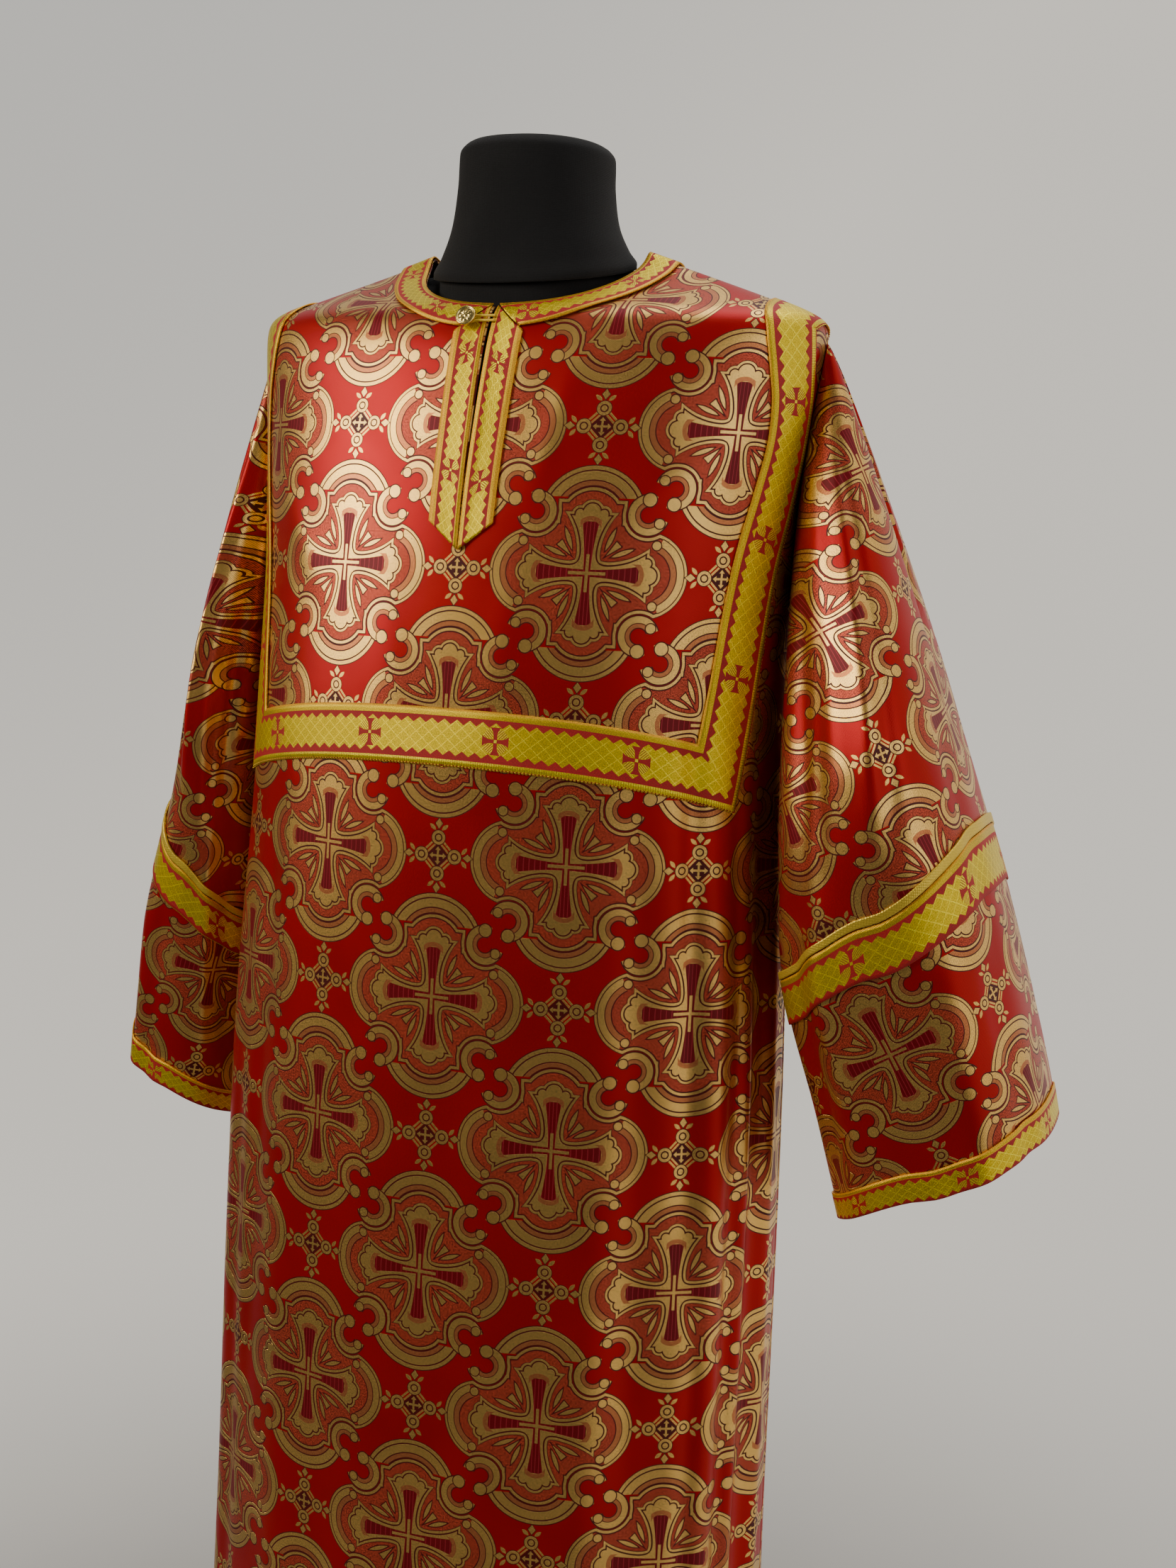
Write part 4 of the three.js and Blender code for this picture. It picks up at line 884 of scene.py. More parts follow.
def torso(material):
    turn = np.linspace(0, 2 * np.pi, 128, endpoint=False)
    rings = []
    for z in np.concatenate([[0.868, 0.871, 0.876, 0.880], np.linspace(0.890, 1.385, 60)]):
        sizes = (columnAt(form["torso"], name, z) - 0.0006 for name in ("halfWidth", "front", "back"))
        reach = reachAt(*sizes, turn)
        rings.append(xyz(reach * np.sin(turn), -reach * np.cos(turn), z))
    stub = form["stub"]
    stubReach = reachAt(stub["halfWidth"], stub["front"], stub["back"], turn)
    levels = np.array(form["shoulders"])
    for share in np.linspace(0, 1, 25):
        z0 = np.interp(share, np.linspace(0, 1, len(levels)), levels[:, 0])
        tilt = np.interp(share, np.linspace(0, 1, len(levels)), levels[:, 1])
        reach = np.full_like(turn, stub["front"])
        for _ in range(6):
            z = z0 - tilt * reach * np.cos(turn)
            under = z + form["down"]
            wide = np.minimum(form["widest"], halfWidthAt(under) - form["inside"])
            fore = np.maximum(0.001, columnAt(body["sections"], "front", under) - form["inside"])
            aft = np.maximum(0.001, columnAt(body["sections"], "back", under) - form["inside"])
            reach = np.maximum(reachAt(wide, fore, aft, turn), stubReach)
        rings.append(xyz(reach * np.sin(turn), -reach * np.cos(turn), z))
    z = stub["z"] - stub["tilt"] * stubReach * np.cos(turn)
    rings.append(xyz(stubReach * np.sin(turn), -stubReach * np.cos(turn), z))
    return settle(ringMesh("form_torso", np.array(rings), material), "form_cover", "form_torso")

def neckBlock(material):
    turn = np.linspace(0, 2 * np.pi, 128, endpoint=False)
    rings = []
    power = 2 / body["sectionPower"]
    for z in np.linspace(1.448, 1.536, 60):
        wide, fore, aft, tilt = (
            columnAt(form["neck"], name, z) for name in ("halfWidth", "front", "back", "tilt"))
        top = max(0, (z - 1.5265) / 0.0095)
        shrink = 1 - 0.055 * (1 - math.sqrt(max(0, 1 - top * top)))
        x = wide * shrink * signedPower(np.sin(turn), power)
        reach = np.where(np.cos(turn) >= 0, -fore, aft) * shrink
        y = reach * np.abs(np.cos(turn)) ** power
        rings.append(xyz(x, y, z + tilt * y))
    rim = rings[-1]
    middle = rim.mean(axis=0)
    for share in np.linspace(0.97, 0.06, 24):
        ring = lerp(middle, rim, share)
        x, y = ring[:, 0], ring[:, 1]
        ring[:, 2] += 0.0008 * (1 - share) + 0.0005 * np.sin(x * 150 + y * 70) * np.sin(y * 110 - x * 40)
        rings.append(ring)
    return settle(ringMesh("form_neck_block", np.array(rings), material), "form_cover", "form_neck_block")

def buttonMesh(material):
    b = button
    r, low, top = b["radius"], b["underside"], b["height"]
    profile = [(0, b["foot"]), (b["shank"], b["foot"]), (b["shank"], low), (r * 0.72, low - 0.0002),
               (r - 0.0009, low + 0.0002), (r - 0.0002, low + 0.0008), (r, low + 0.0014),
               (r, top - 0.0010), (r - 0.0002, top - 0.0004), (r - 0.0006, top),
               (r - 0.0012, top - 0.0001), (r - 0.0016, top - 0.0006), (r - 0.0019, top - 0.0010)]
    face = np.linspace(r - 0.0021, 0.0001, 26)
    profile += [(x, top - 0.0010 + 0.0004 * (1 - (x / r) ** 2)) for x in face] + [(0, top - 0.0006)]
    obj = latheMesh("button", profile, 96, material)
    for vertex in obj.data.vertices:
        radius = math.hypot(vertex.co.x, vertex.co.y)
        if vertex.co.z > top - 0.0012 and radius < r - 0.0021:
            angle = math.atan2(vertex.co.y, vertex.co.x)
            petals = 0.5 + 0.5 * math.cos(8 * angle)
            ring = math.exp(-((radius - 0.0033) / 0.0012) ** 2)
            boss = math.exp(-(radius / 0.0012) ** 2)
            vertex.co.z += 0.0005 * petals * ring + 0.0005 * boss
    seat = bodyAcross(np.array([b["x"]]), np.array([b["z"]]), -1)
    normal = Vector(bodyNormal(seat, -1)[0])
    seat = onCloth(seat, -1)
    turned = Vector((0, 0, 1)).rotation_difference(normal).to_matrix().to_4x4()
    obj.data.transform(Matrix.Translation(seat[0]) @ turned)
    return settle(obj, "button_brass", "button")

def loopMesh(material):
    # out along the upper cord, round the button's shank, and back along the lower one
    near, wide, x = loop["gap"] / 2, loop["round"], button["x"]
    outward = [(loop["start"], near), (-0.004, near), (-0.009, near), (x + wide, wide * 0.85), (x, wide)]
    places = outward + [(x - wide, 0)] + [(across, -up) for across, up in reversed(outward)]
    guides = []
    for x, up in places:
        p = bodyAcross(np.array([x]), np.array([button["z"] + up]), -1)
        guides.append((onCloth(p, -1) + bodyNormal(p, -1) * loop["lift"])[0])
    path = GuideLine(guides)
    share = np.linspace(0, 1, 121)
    centre, ahead = path.at(share), path.at(share, path.tangents)
    up = bodyNormal(centre, -1)
    side = unit(np.cross(ahead, up))
    up = np.cross(side, ahead)
    turn = np.linspace(0, 2 * np.pi, 16, endpoint=False)
    twist = 0.00008 * np.cos(3 * turn[None] + share[:, None] * 260)
    wide = (loop["radius"] + twist)[..., None]
    points = (centre[:, None] + side[:, None] * np.cos(turn)[None, :, None] * wide
              + up[:, None] * np.sin(turn)[None, :, None] * wide * 0.72)
    return settle(ringMesh("button_loop", points, material), "loop_cord", "button_loop")

# A value or a link goes into a socket, whichever is given.
def feed(socket, value):
    value = getattr(value, "socket", value)
    if isinstance(value, bpy.types.NodeSocket):
        socket.id_data.links.new(value, socket)
    elif value is not None:
        socket.default_value = value

# One node: its settings first, then its sockets, in order or by name.
def nodeIn(tree, kind, sockets=(), **settings):
    node = tree.nodes.new(kind)
    for name, value in settings.items():
        setattr(node, name, value)
    for key, value in sockets.items() if isinstance(sockets, dict) else enumerate(sockets):
        feed(node.inputs[key], value)
    return node

# A socket that can be written in sums.
class Cell:
    def __init__(self, socket):
        self.socket = socket
        self.tree = socket.id_data

    def math(self, operation, *values, clamp=False):
        node = nodeIn(self.tree, "ShaderNodeMath", values, operation=operation, use_clamp=clamp)
        return Cell(node.outputs[0])

    def __add__(self, other):
        return self.math("ADD", self, other)

    def __radd__(self, other):
        return self.math("ADD", other, self)

    def __sub__(self, other):
        return self.math("SUBTRACT", self, other)

    def __rsub__(self, other):
        return self.math("SUBTRACT", other, self)

    def __mul__(self, other):
        return self.math("MULTIPLY", self, other)

    def __rmul__(self, other):
        return self.math("MULTIPLY", other, self)

    def __lt__(self, other):
        return self.math("LESS_THAN", self, other)

    def __gt__(self, other):
        return self.math("GREATER_THAN", self, other)

    def __abs__(self):
        return self.math("ABSOLUTE", self)

    def scaled(self, factor, shift, clamp=False):
        return self.math("MULTIPLY_ADD", self, factor, shift, clamp=clamp)

    def least(self, other):
        return self.math("MINIMUM", self, other)

    def most(self, other):
        return self.math("MAXIMUM", self, other)

    def within(self, middle, half):
        return self.math("COMPARE", self, middle, half)

    def folded(self, half):
        return self.math("PINGPONG", self, half)

    def sine(self):
        return self.math("SINE", self)

    def power(self, exponent):
        return self.math("POWER", self, exponent)

    def exponential(self):
        return self.math("EXPONENT", self)

    def bearing(self, across):
        return self.math("ARCTAN2", self, across)

    def parts(self):
        node = nodeIn(self.tree, "ShaderNodeSeparateXYZ", [self])
        return tuple(Cell(output) for output in node.outputs)

    def distance(self, x, y):
        node = nodeIn(self.tree, "ShaderNodeVectorMath", [self, (x, y, 0)], operation="DISTANCE")
        return Cell(node.outputs["Value"])

    def mix(self, share, other):
        return Cell(nodeIn(self.tree, "ShaderNodeMix", {0: share, 2: self, 3: other}).outputs[0])

    def mixTint(self, share, other, blend="MIX"):
        tint = other if isinstance(other, Cell) else (*other, 1)
        node = nodeIn(self.tree, "ShaderNodeMix", {0: share, 6: self, 7: tint},
                      data_type="RGBA", blend_type=blend)
        return Cell(node.outputs[2])

    # Colour and alpha from stops of (place, (r, g, b, a)).
    def ramp(self, stops, kind="CONSTANT"):
        node = nodeIn(self.tree, "ShaderNodeValToRGB", [self])
        line = node.color_ramp
        line.interpolation = kind
        while len(line.elements) < len(stops):
            line.elements.new(0.5)
        for element, (place, _) in zip(line.elements, sorted(stops)):
            element.position = min(1, max(0, place))
        for element, (_, value) in zip(line.elements, sorted(stops)):
            element.color = value if len(value) == 4 else (*value, 1)
        return Cell(node.outputs["Color"]), Cell(node.outputs["Alpha"])

    def noise(self, scale, detail):
        node = nodeIn(self.tree, "ShaderNodeTexNoise", {"Vector": self, "Scale": scale, "Detail": detail})
        return Cell(node.outputs[0])

def blankMaterial(name):
    material = bpy.data.materials.new(name)
    material.use_nodes = True
    return material, material.node_tree, material.node_tree.nodes["Principled BSDF"]

# Places on a piece: its own UV map where one is named, otherwise Object coordinates.
def coords(tree, uvMap=None):
    if uvMap:
        return Cell(nodeIn(tree, "ShaderNodeUVMap", uv_map=uvMap).outputs[0])
    return Cell(nodeIn(tree, "ShaderNodeTexCoord").outputs["Object"])

# Along and across the cloth.
def millimetres(tree):
    x, y, _ = coords(tree, "cloth").parts()
    return x * 1000, y * 1000

def constant(tree, value):
    cell = Cell(nodeIn(tree, "ShaderNodeValue").outputs[0])
    cell.socket.default_value = value
    return cell

def vector(x, y, z=0.0):
    tree = (x if isinstance(x, Cell) else y).tree
    return Cell(nodeIn(tree, "ShaderNodeCombineXYZ", [x, y, z]).outputs[0])

def grey(shade):
    return vector(shade, shade, shade)

def finishWith(shader, sockets):
    for name, value in sockets.items():
        feed(shader.inputs[name], value)

def bump(height, distance, strength):
    node = nodeIn(height.tree, "ShaderNodeBump",
                  {"Strength": strength, "Distance": distance, "Height": height})
    return Cell(node.outputs["Normal"])

# Threads of the brocade, from the lowest in the weave to the highest.
threads = {row["name"]: row for row in rows(
    "name level tint shine",
    ("dark", 0.05, (0.075, 0.003, 0.003), 0.05),
    ("wine", 0.20, (0.165, 0.001, 0.005), 0.2),
    ("ground", 0.35, (0.42, 0.002, 0.003), 0.45),
    ("field", 0.50, (0.42, 0.055, 0.026), 0.45),
    ("pink", 0.65, (0.34, 0.020, 0.030), 0.3),
    ("copper", 0.80, (0.50, 0.17, 0.06), 0.7),
    ("gold", 0.95, (0.78, 0.47, 0.13), 0.9))}

# The woven pattern: what is laid last covers what lies under it. Sizes are in millimetres.
class Cartoon:
    def __init__(self, tree, thread):
        self.level = constant(tree, threads[thread]["level"])

    def lay(self, mask, thread):
        value = thread if isinstance(thread, Cell) else threads[thread]["level"]
        self.level = self.level.mix(mask, value)

    # Bands of threads by a distance: from, to, thread.
    def bands(self, distance, bands, mask=None):
        low, high = bands[0][0], bands[-1][1]
        span = high - low
        stops = [(0.0, (0, 0, 0, 0))]
        for start, end, thread in bands:
            shade = threads[thread]["level"]
            stops.append((((start - low) / span) * 0.98 + 0.01, (shade, shade, shade, 1)))
        stops.append((0.99, (0, 0, 0, 0)))
        place = distance.scaled(0.98 / span, 0.01 - low * 0.98 / span)
        shade, share = place.ramp(stops)
        self.lay(share if mask is None else share * mask, shade)

    def knob(self, points, centre, radius, border=0.8):
        self.bands(points.distance(*centre), [(0, radius, "gold"), (radius, radius + border, "dark")])

    # A leaf pointed at both ends, with its heading as a cosine and a sine.
    def leaf(self, x, y, shape):
        (footX, footY), (c, s) = shape["foot"], shape["heading"]
        px, py = x - footX, y - footY
        t = px * c + py * s
        off = abs(py * c - px * s)
        half = t * (shape["length"] - t) * shape["full"]
        if shape["border"]:
            self.lay(off < half + shape["border"], "dark")
        self.lay(off < half, "gold")

# One quarter of a medallion, from its centre: the rest is mirrored. Angles are in degrees.
medallion = {
    "halfU": 93.5, "halfV": 100.25,
    "top": (0, 36.3), "topRadius": 37.7, "topFoot": 51.5,
    "topBands": ((0, 0.7, "dark"), (0.7, 3.2, "gold"), (3.2, 4.2, "dark"), (4.2, 10.1, "gold"),
                 (10.1, 11.0, "dark"), (11.0, 14.0, "copper"), (14.0, 14.9, "dark")),
    "fieldTop": 22.9, "fieldTall": (24.3, 50.5), "fieldBroad": (39, 36), "fieldSide": 30.2,
    "fieldBands": ((0, 0.7, "dark"), (0.7, 2.6, "gold"), (2.6, 3.5, "dark"), (3.5, 80, "field")),
    "side": (39, 0), "sideReach": 24,
    "sideBands": ((17.3, 18.1, "dark"), (18.1, 21.8, "copper"), (21.8, 22.5, "dark"),
                  (22.5, 27.1, "gold"), (27.1, 27.8, "dark")),
    "sideKnob": ((46, 20.6), 2.9),
    "scroll": (38.5, 41), "scrollRadius": 14.7, "mouth": 24.5, "mouthHalf": 42.5,
    "scrollBands": ((0, 5.2, "ground"), (5.2, 6.0, "dark"), (6.0, 8.6, "copper"), (8.6, 9.2, "dark"),
                    (9.2, 13.7, "gold"), (13.7, 14.6, "dark")),
    "scrollKnobs": (((38.5, 51.3), 4.4), ((46.5, 35.5), 3.2)),
    "armLength": 38.8, "armWaist": 4.2, "armSpread": 1.57e-4, "armRoot": 36.1, "armDecay": -0.37,
    "lobes": (((41.7, 0), 5.6), ((40.3, 8.2), 2.9)),
    "crossBands": ((-60, 0, "gold"), (0, 0.9, "dark"), (0.9, 2.4, "gold"), (2.4, 3.0, "dark")),
    "wineLength": 35.3, "wineWaist": 2.5, "wineSpread": 0.0029, "ribCentre": (-30, 0),
    "spine": (12.8, 1.05),
    "bud": {"length": 11.5, "slope": 0.2, "start": 17.3, "border": 0.8},
    "leaf": {"foot": (15.8, 11.4), "heading": (0.927, 0.376), "length": 16, "full": 0.0219, "border": 0.8},
}
# The small cross between four medallions, from its own centre.
smallCross = {
    "heart": 8.8, "lines": ((9.75, 0.75), (7.2, 0.7)), "ring": (12.7, 0),
    "ringBands": ((0, 2.0, "gold"), (2.0, 3.0, "dark"), (3.0, 5.0, "gold"), (5.0, 5.6, "dark")),
    "tip": (22.6, 3.6, 2.7), "tipBorder": 1.25,
    "leaf": {"foot": (18, 2.2), "heading": (0.64, 0.77), "length": 6.3, "full": 0.14, "border": 0},
    "inner": {"arm": 0.75, "armReach": 5, "bar": 0.85, "barPlace": 6.4, "barFrom": 3.9},
}

# u and v are millimetres on the cloth. Half drop: every other column stands half a repeat lower.
def brocadePattern(tree, u, v):
    spec = medallion
    halfU, halfV = spec["halfU"], spec["halfV"]
    ax, ay = u.folded(halfU), v.folded(halfV)
    beyond = (ax * (1 / halfU) + ay * (1 / halfV)) > 1
    ax, ay = ax.mix(beyond, halfU - ax), ay.mix(beyond, halfV - ay)
    east = ax * (halfV / halfU) > ay
    mx = ax.mix(east, halfU - ax)
    my = (halfV - ay).mix(east, ay)
    m = vector(mx, my)
    weave = Cartoon(tree, "ground")

    # round tops above and below each medallion
    far = m.distance(*spec["top"])
    weave.bands(spec["topRadius"] - far, spec["topBands"], my > spec["topFoot"])
    # the field that holds the cross
    side, scroll = m.distance(*spec["side"]), m.distance(*spec["scroll"])
    tall = (mx - spec["fieldTall"][0]).most(my - spec["fieldTall"][1])
    broad = (mx - spec["fieldBroad"][0]).most(my - spec["fieldBroad"][1])
    field = (far - spec["fieldTop"]).least(tall).least(broad).least(side - spec["fieldSide"])
    field = field.most(spec["scrollRadius"] - scroll)
    weave.bands(0 - field, spec["fieldBands"])
    # brackets at the sides
    reach = math.radians(spec["sideReach"])
    wedge = (mx - spec["side"][0]) * math.cos(reach) > my * math.sin(reach)
    weave.bands(side, spec["sideBands"], wedge)
    weave.knob(m, *spec["sideKnob"])
    # scrolls in the corners, open on one side
    heading = (my - spec["scroll"][1]).bearing(mx - spec["scroll"][0])
    opening = heading.within(math.radians(spec["mouth"]), math.radians(spec["mouthHalf"]))
    weave.bands(scroll, spec["scrollBands"], 1 - opening)
    weave.bands(scroll, [(0, spec["scrollRadius"], "ground")], opening)
    for centre, radius in spec["scrollKnobs"]:
        weave.knob(m, centre, radius)
    # the cross
    a, b = mx.most(my), mx.least(my)
    octant = vector(a, b)
    root = (a * spec["armDecay"]).exponential() * spec["armRoot"]
    flare = a.power(3).scaled(spec["armSpread"], spec["armWaist"]) + root
    edge = ((b - flare) * 0.85).most(a - spec["armLength"])
    for centre, radius in spec["lobes"]:
        edge = edge.least(octant.distance(*centre) - radius)
    weave.bands(edge, spec["crossBands"])
    wine = (b < (a * a).scaled(spec["wineSpread"], spec["wineWaist"])) * (a < spec["wineLength"])
    weave.lay(wine, "wine")
    ribs = (octant.distance(*spec["ribCentre"]).folded(2.0) < 0.32) * (mx > my)
    weave.lay(ribs.most((mx.folded(1.3) < 0.26) * (mx < my)) * wine, "pink")
    weave.lay(octant.distance(28, 0).within(9.3, 1.6) * (b < 7.4) * (a > 29), "copper")
    weave.lay((b < spec["spine"][1]) * (a < spec["spine"][0]), "gold")
    # leaves between the arms
    bud = spec["bud"]
    along = (a + b).scaled(0.7071, -bud["start"])
    off = (a - b) * 0.7071
    weave.lay((off < along.scaled(bud["slope"], bud["border"]))
                * (along < bud["length"] + bud["border"]), "dark")
    weave.lay((off < along * bud["slope"]) * (along < bud["length"]), "gold")
    weave.leaf(a, b, spec["leaf"])
    # small crosses between the medallions
    spec = smallCross
    c, d = ax.most(ay), ax.least(ay)
    weave.lay((c + d) < spec["heart"], "dark")
    slant = (c + d) * 0.7071
    lines = [slant.within(*line) for line in spec["lines"]]
    weave.lay(lines[0].most(lines[1]), "gold")
    weave.bands(vector(c, d).distance(*spec["ring"]), spec["ringBands"])
    middle, reachC, reachD = spec["tip"]
    tip = d * (1 / reachD) + abs(c - middle) * (1 / reachC)
    weave.bands(tip, [(0, 1.0, "gold"), (1.0, spec["tipBorder"], "dark")])
    weave.leaf(c, d, spec["leaf"])
    inner = spec["inner"]
    arm = (d - inner["arm"]).most(c - inner["armReach"])
    bar = (d - inner["bar"] * (inner["barPlace"] - c)).most(inner["barFrom"] - c)
    weave.lay(arm.least(bar) < 0, "gold")
    return weave.level

brocadeFinish = {
    "twill": 1.15, "metalFrom": 0.72,      # millimetres between twill lines; level of the first metal thread
    "plain": 0.07, "metal": 0.26, "field": 0.75,      # how strongly each shows its threads
    "unevenness": 0.35, "rough": 0.44, "specular": 0.25, "depth": 0.00028,
    "backTint": (0.16, 0.03, 0.02), "backShare": 0.65, "backMetal": 0.3,
}

def brocadeMaterial(name, reverse=False):
    spec = brocadeFinish
    material, tree, shader = blankMaterial(name)
    u, v = millimetres(tree)
    level = brocadePattern(tree, u, v)
    stops, last = [], None
    for thread in threads.values():
        start = 0 if last is None else (last + thread["level"]) / 2
        stops.append((start, (*thread["tint"], thread["shine"])))
        last = thread["level"]
    tint, shine = level.ramp(stops)
    # twill lines, single threads and slow unevenness
    twill = (u + v).scaled(2 * math.pi / spec["twill"], 0).sine()
    grain = vector(u, v).noise(0.9, 1.0)
    patch = vector(u, v).noise(0.02, 2.0)
    metalThread = level > spec["metalFrom"]
    fieldThread = level.within(threads["field"]["level"], 0.07)
    strong = metalThread.scaled(spec["metal"], spec["plain"]) + fieldThread * spec["field"]
    shade = (twill * 0.7 + (grain - 0.5) * 3.4) * strong + 1
    shade = shade * (patch - 0.5).scaled(spec["unevenness"], 1)
    coloured = tint.mixTint(1.0, grey(shade), "MULTIPLY")
    if reverse:
        coloured = coloured.mixTint(spec["backShare"], spec["backTint"])
    height = level * 0.6 + twill * 0.12 + grain * 0.35
    finishWith(shader, {
        "Base Color": coloured, "Metallic": shine * (spec["backMetal"] if reverse else 1),
        "Roughness": shine.scaled(-0.12, spec["rough"]) + (grain - 0.5) * 0.22,
        "Specular IOR Level": spec["specular"], "Normal": bump(height, spec["depth"], 0.55)})
    return material

brocade = brocadeMaterial("brocade")
lining = brocadeMaterial("brocadeReverse", reverse=True)

# Threads of the galloons: colour and shine.
braidThreads = {
    "red": ((0.42, 0.006, 0.006), 0.1), "brown": ((0.42, 0.15, 0.012), 0.4),
    "orange": ((0.84, 0.42, 0.02), 0.6), "olive": ((0.66, 0.44, 0.015), 0.8),
    "lemon": ((0.72, 0.52, 0.006), 0.8), "bright": ((1.0, 0.76, 0.03), 0.85),
}
# Millimetres: the net and the saw teeth lie between the edges' stripes, a cross on each pitch.
braids = {
    "wide": {"width": 40, "pitch": 49, "cross": 9.6, "tooth": 4.8, "net": 5.0, "lean": 1.15,
             "teeth": (7.4, 32.6), "near": ((0, "orange"), (1.3, "olive"), (5.4, "red")),
             "far": ((34.4, "red"), (35.4, "bright"), (39.2, "red"))},
    "narrow": {"width": 24, "pitch": 42, "cross": 7.6, "tooth": 4.0, "net": 4.2, "lean": 1.45,
               "teeth": (4.2, 19.8), "near": ((0, "orange"), (1.2, "olive"), (2.6, "orange"), (3.2, "red")),
               "far": ((20.8, "red"), (21.4, "orange"), (22.6, "olive"), (23.4, "orange"))},
    "strand": 0.5, "bite": 0.75, "bar": 0.85, "rib": 0.9,
}

def galloonMaterial(name, kind):
    spec = braids[kind]
    material, tree, shader = blankMaterial(name)
    u, w = millimetres(tree)
    count = len(braidThreads)
    value = {thread: (k + 0.5) / count for k, thread in enumerate(braidThreads)}
    level = constant(tree, value["lemon"])
    slope = w * spec["lean"]
    lines = [way.folded(spec["net"]) < braids["strand"] for way in (u + slope, u - slope)]
    level = level.mix(lines[0].most(lines[1]), value["bright"])
    # a small cross with leaf quadrants on each repeat
    along, off = u.folded(spec["pitch"]), abs(w - spec["width"] / 2)
    a, b = along.most(off), along.least(off)
    size = spec["cross"]
    leaf = (a < size * 0.86) * (b > size * 0.2) * ((along + off) < size * 1.42)
    level = level.mix(leaf, value["bright"])
    level = level.mix(leaf * ((along - off).scaled(3.2, 0).sine() > 0.1), value["brown"])
    arm = (b < (a * (1 / size)).power(4).scaled(size * 0.28, size * 0.14)) * (a < size)
    level = level.mix(arm, value["red"])
    level = level.mix(a < size * 0.11, value["bright"])
    # saw teeth along both sides
    tooth = u.folded(spec["tooth"])
    nearTeeth, farTeeth = spec["teeth"]
    level = level.mix(w < tooth.scaled(braids["bite"], nearTeeth), value["red"])
    level = level.mix(w > tooth.scaled(-braids["bite"], farTeeth), value["red"])
    # stripes of the two edges, with short bars across the bright one
    stops = [(nearTeeth / spec["width"], (0, 0, 0, 0))]
    for place, thread in spec["near"] + spec["far"]:
        shade = value[thread]
        stops.append((place / spec["width"], (shade, shade, shade, 1)))
    edge, share = (w * (1 / spec["width"])).ramp(stops)
    level = level.mix(share, edge)
    bars = share * (u.folded(braids["bar"]) < 0.26) * level.within(value["bright"], 0.06)
    level = level.mix(bars, value["olive"])
    tint, shine = level.ramp([
        (k / count, (*colour, gloss)) for k, (colour, gloss) in enumerate(braidThreads.values())])
    rib = (u + w * 0.25).scaled(2 * math.pi / braids["rib"], 0).sine()
    cross = (w - u * 0.25).scaled(2 * math.pi / braids["rib"], 0).sine()
    grain = vector(u, w).noise(1.1, 1.0)
    patch = vector(u, w).noise(0.05, 2.0)
    shade = (rib * 0.10 + cross * 0.07 + (grain - 0.5) * 1.3 + (patch - 0.5) * 0.3) + 1
    height = level * 0.8 + rib * 0.18 + cross * 0.14 + grain * 0.3
    finishWith(shader, {
        "Base Color": tint.mixTint(1.0, grey(shade), "MULTIPLY"), "Metallic": shine,
        "Roughness": shine.scaled(-0.28, 0.62) + (grain - 0.5) * 0.2,
        "Normal": bump(height, 0.00035, 0.6)})
    return material

# Plain cloths and metals. The weave is in radians a metre, the depth of its relief in metres.
finishes = {
    "goldPiping": {"tint": (0.72, 0.50, 0.05), "weave": 3600, "depth": 0.0003, "rough": 0.42, "metal": 0.55},
    "buttonBrass": {"tint": (0.80, 0.60, 0.20), "weave": 90, "depth": 0.00002, "rough": 0.26, "metal": 1.0,
                    "blotch": 0.05},
    "loopCord": {"tint": (0.80, 0.52, 0.03), "weave": 5200, "depth": 0.0002, "rough": 0.6, "metal": 0.1,
                 "sheen": 0.1, "blotch": 0.03},
    "formCover": {"tint": (0.0030, 0.0026, 0.0032), "weave": 5200, "depth": 0.0002, "rough": 0.95,
                  "blotch": 0.05},
    "standMetal": {"tint": (0.025, 0.025, 0.027), "weave": 60, "depth": 0.00002, "rough": 0.42, "metal": 0.8,
                   "blotch": 0.05},
    "picotThread": {"tint": (0.95, 0.72, 0.06), "weave": 5200, "depth": 0.0001, "rough": 0.45, "metal": 0.5,
                    "blotch": 0.03},
    "usual": {"metal": 0.0, "sheen": 0.0, "blotch": 0.12},
}

def plainMaterial(name):
    spec = {**finishes["usual"], **finishes[name]}
    material, tree, shader = blankMaterial(name)
    place = coords(tree)
    x, y, z = place.parts()
    ribs = (z * spec["weave"]).sine() + ((x + y) * spec["weave"]).sine()
    fuzz = place.noise(900, 2.0)
    patch = place.noise(14, 3.0)
    shade = ribs * 0.03 + (fuzz - 0.5) * 0.5 + (patch - 0.5) * spec["blotch"] * 4 + 1
    finishWith(shader, {
        "Base Color": vector(*(shade * part for part in spec["tint"])), "Metallic": spec["metal"],
        "Roughness": (fuzz - 0.5) * 0.15 + (patch - 0.5) * 0.2 + spec["rough"],
        "Sheen Weight": spec["sheen"], "Sheen Roughness": 0.5,
        "Normal": bump(ribs * 0.25 + fuzz, spec["depth"], 0.5)})
    return material

galloon = galloonMaterial("galloonNarrow", "narrow")
galloonWide = galloonMaterial("galloonWide", "wide")
piping, brass, cord, jersey, steel, picotThread = (
    plainMaterial(name) for name in finishes if name != "usual")

def fadingFloor():
    material, tree, shader = blankMaterial("floor")
    place = coords(tree)
    x, y, _ = place.parts()
    reach = (x * x + y * y).power(0.5)
    cloud = place.noise(3.0, 4.0)
    shade = (cloud - 0.5) * 0.12 + 0.26
    fade = reach.scaled(-0.62, 1.30, clamp=True)
    finishWith(shader, {
        "Base Color": vector(shade, shade * 0.97, shade * 0.93), "Alpha": fade * fade, "Roughness": 0.8})
    return material

floorMaterial = fadingFloor()

# Small loops of thread along the yoke galloon's outer edge, in metres.
picot = {"spacing": 0.0026, "radius": 0.00085, "thread": 0.00026, "sides": 9}

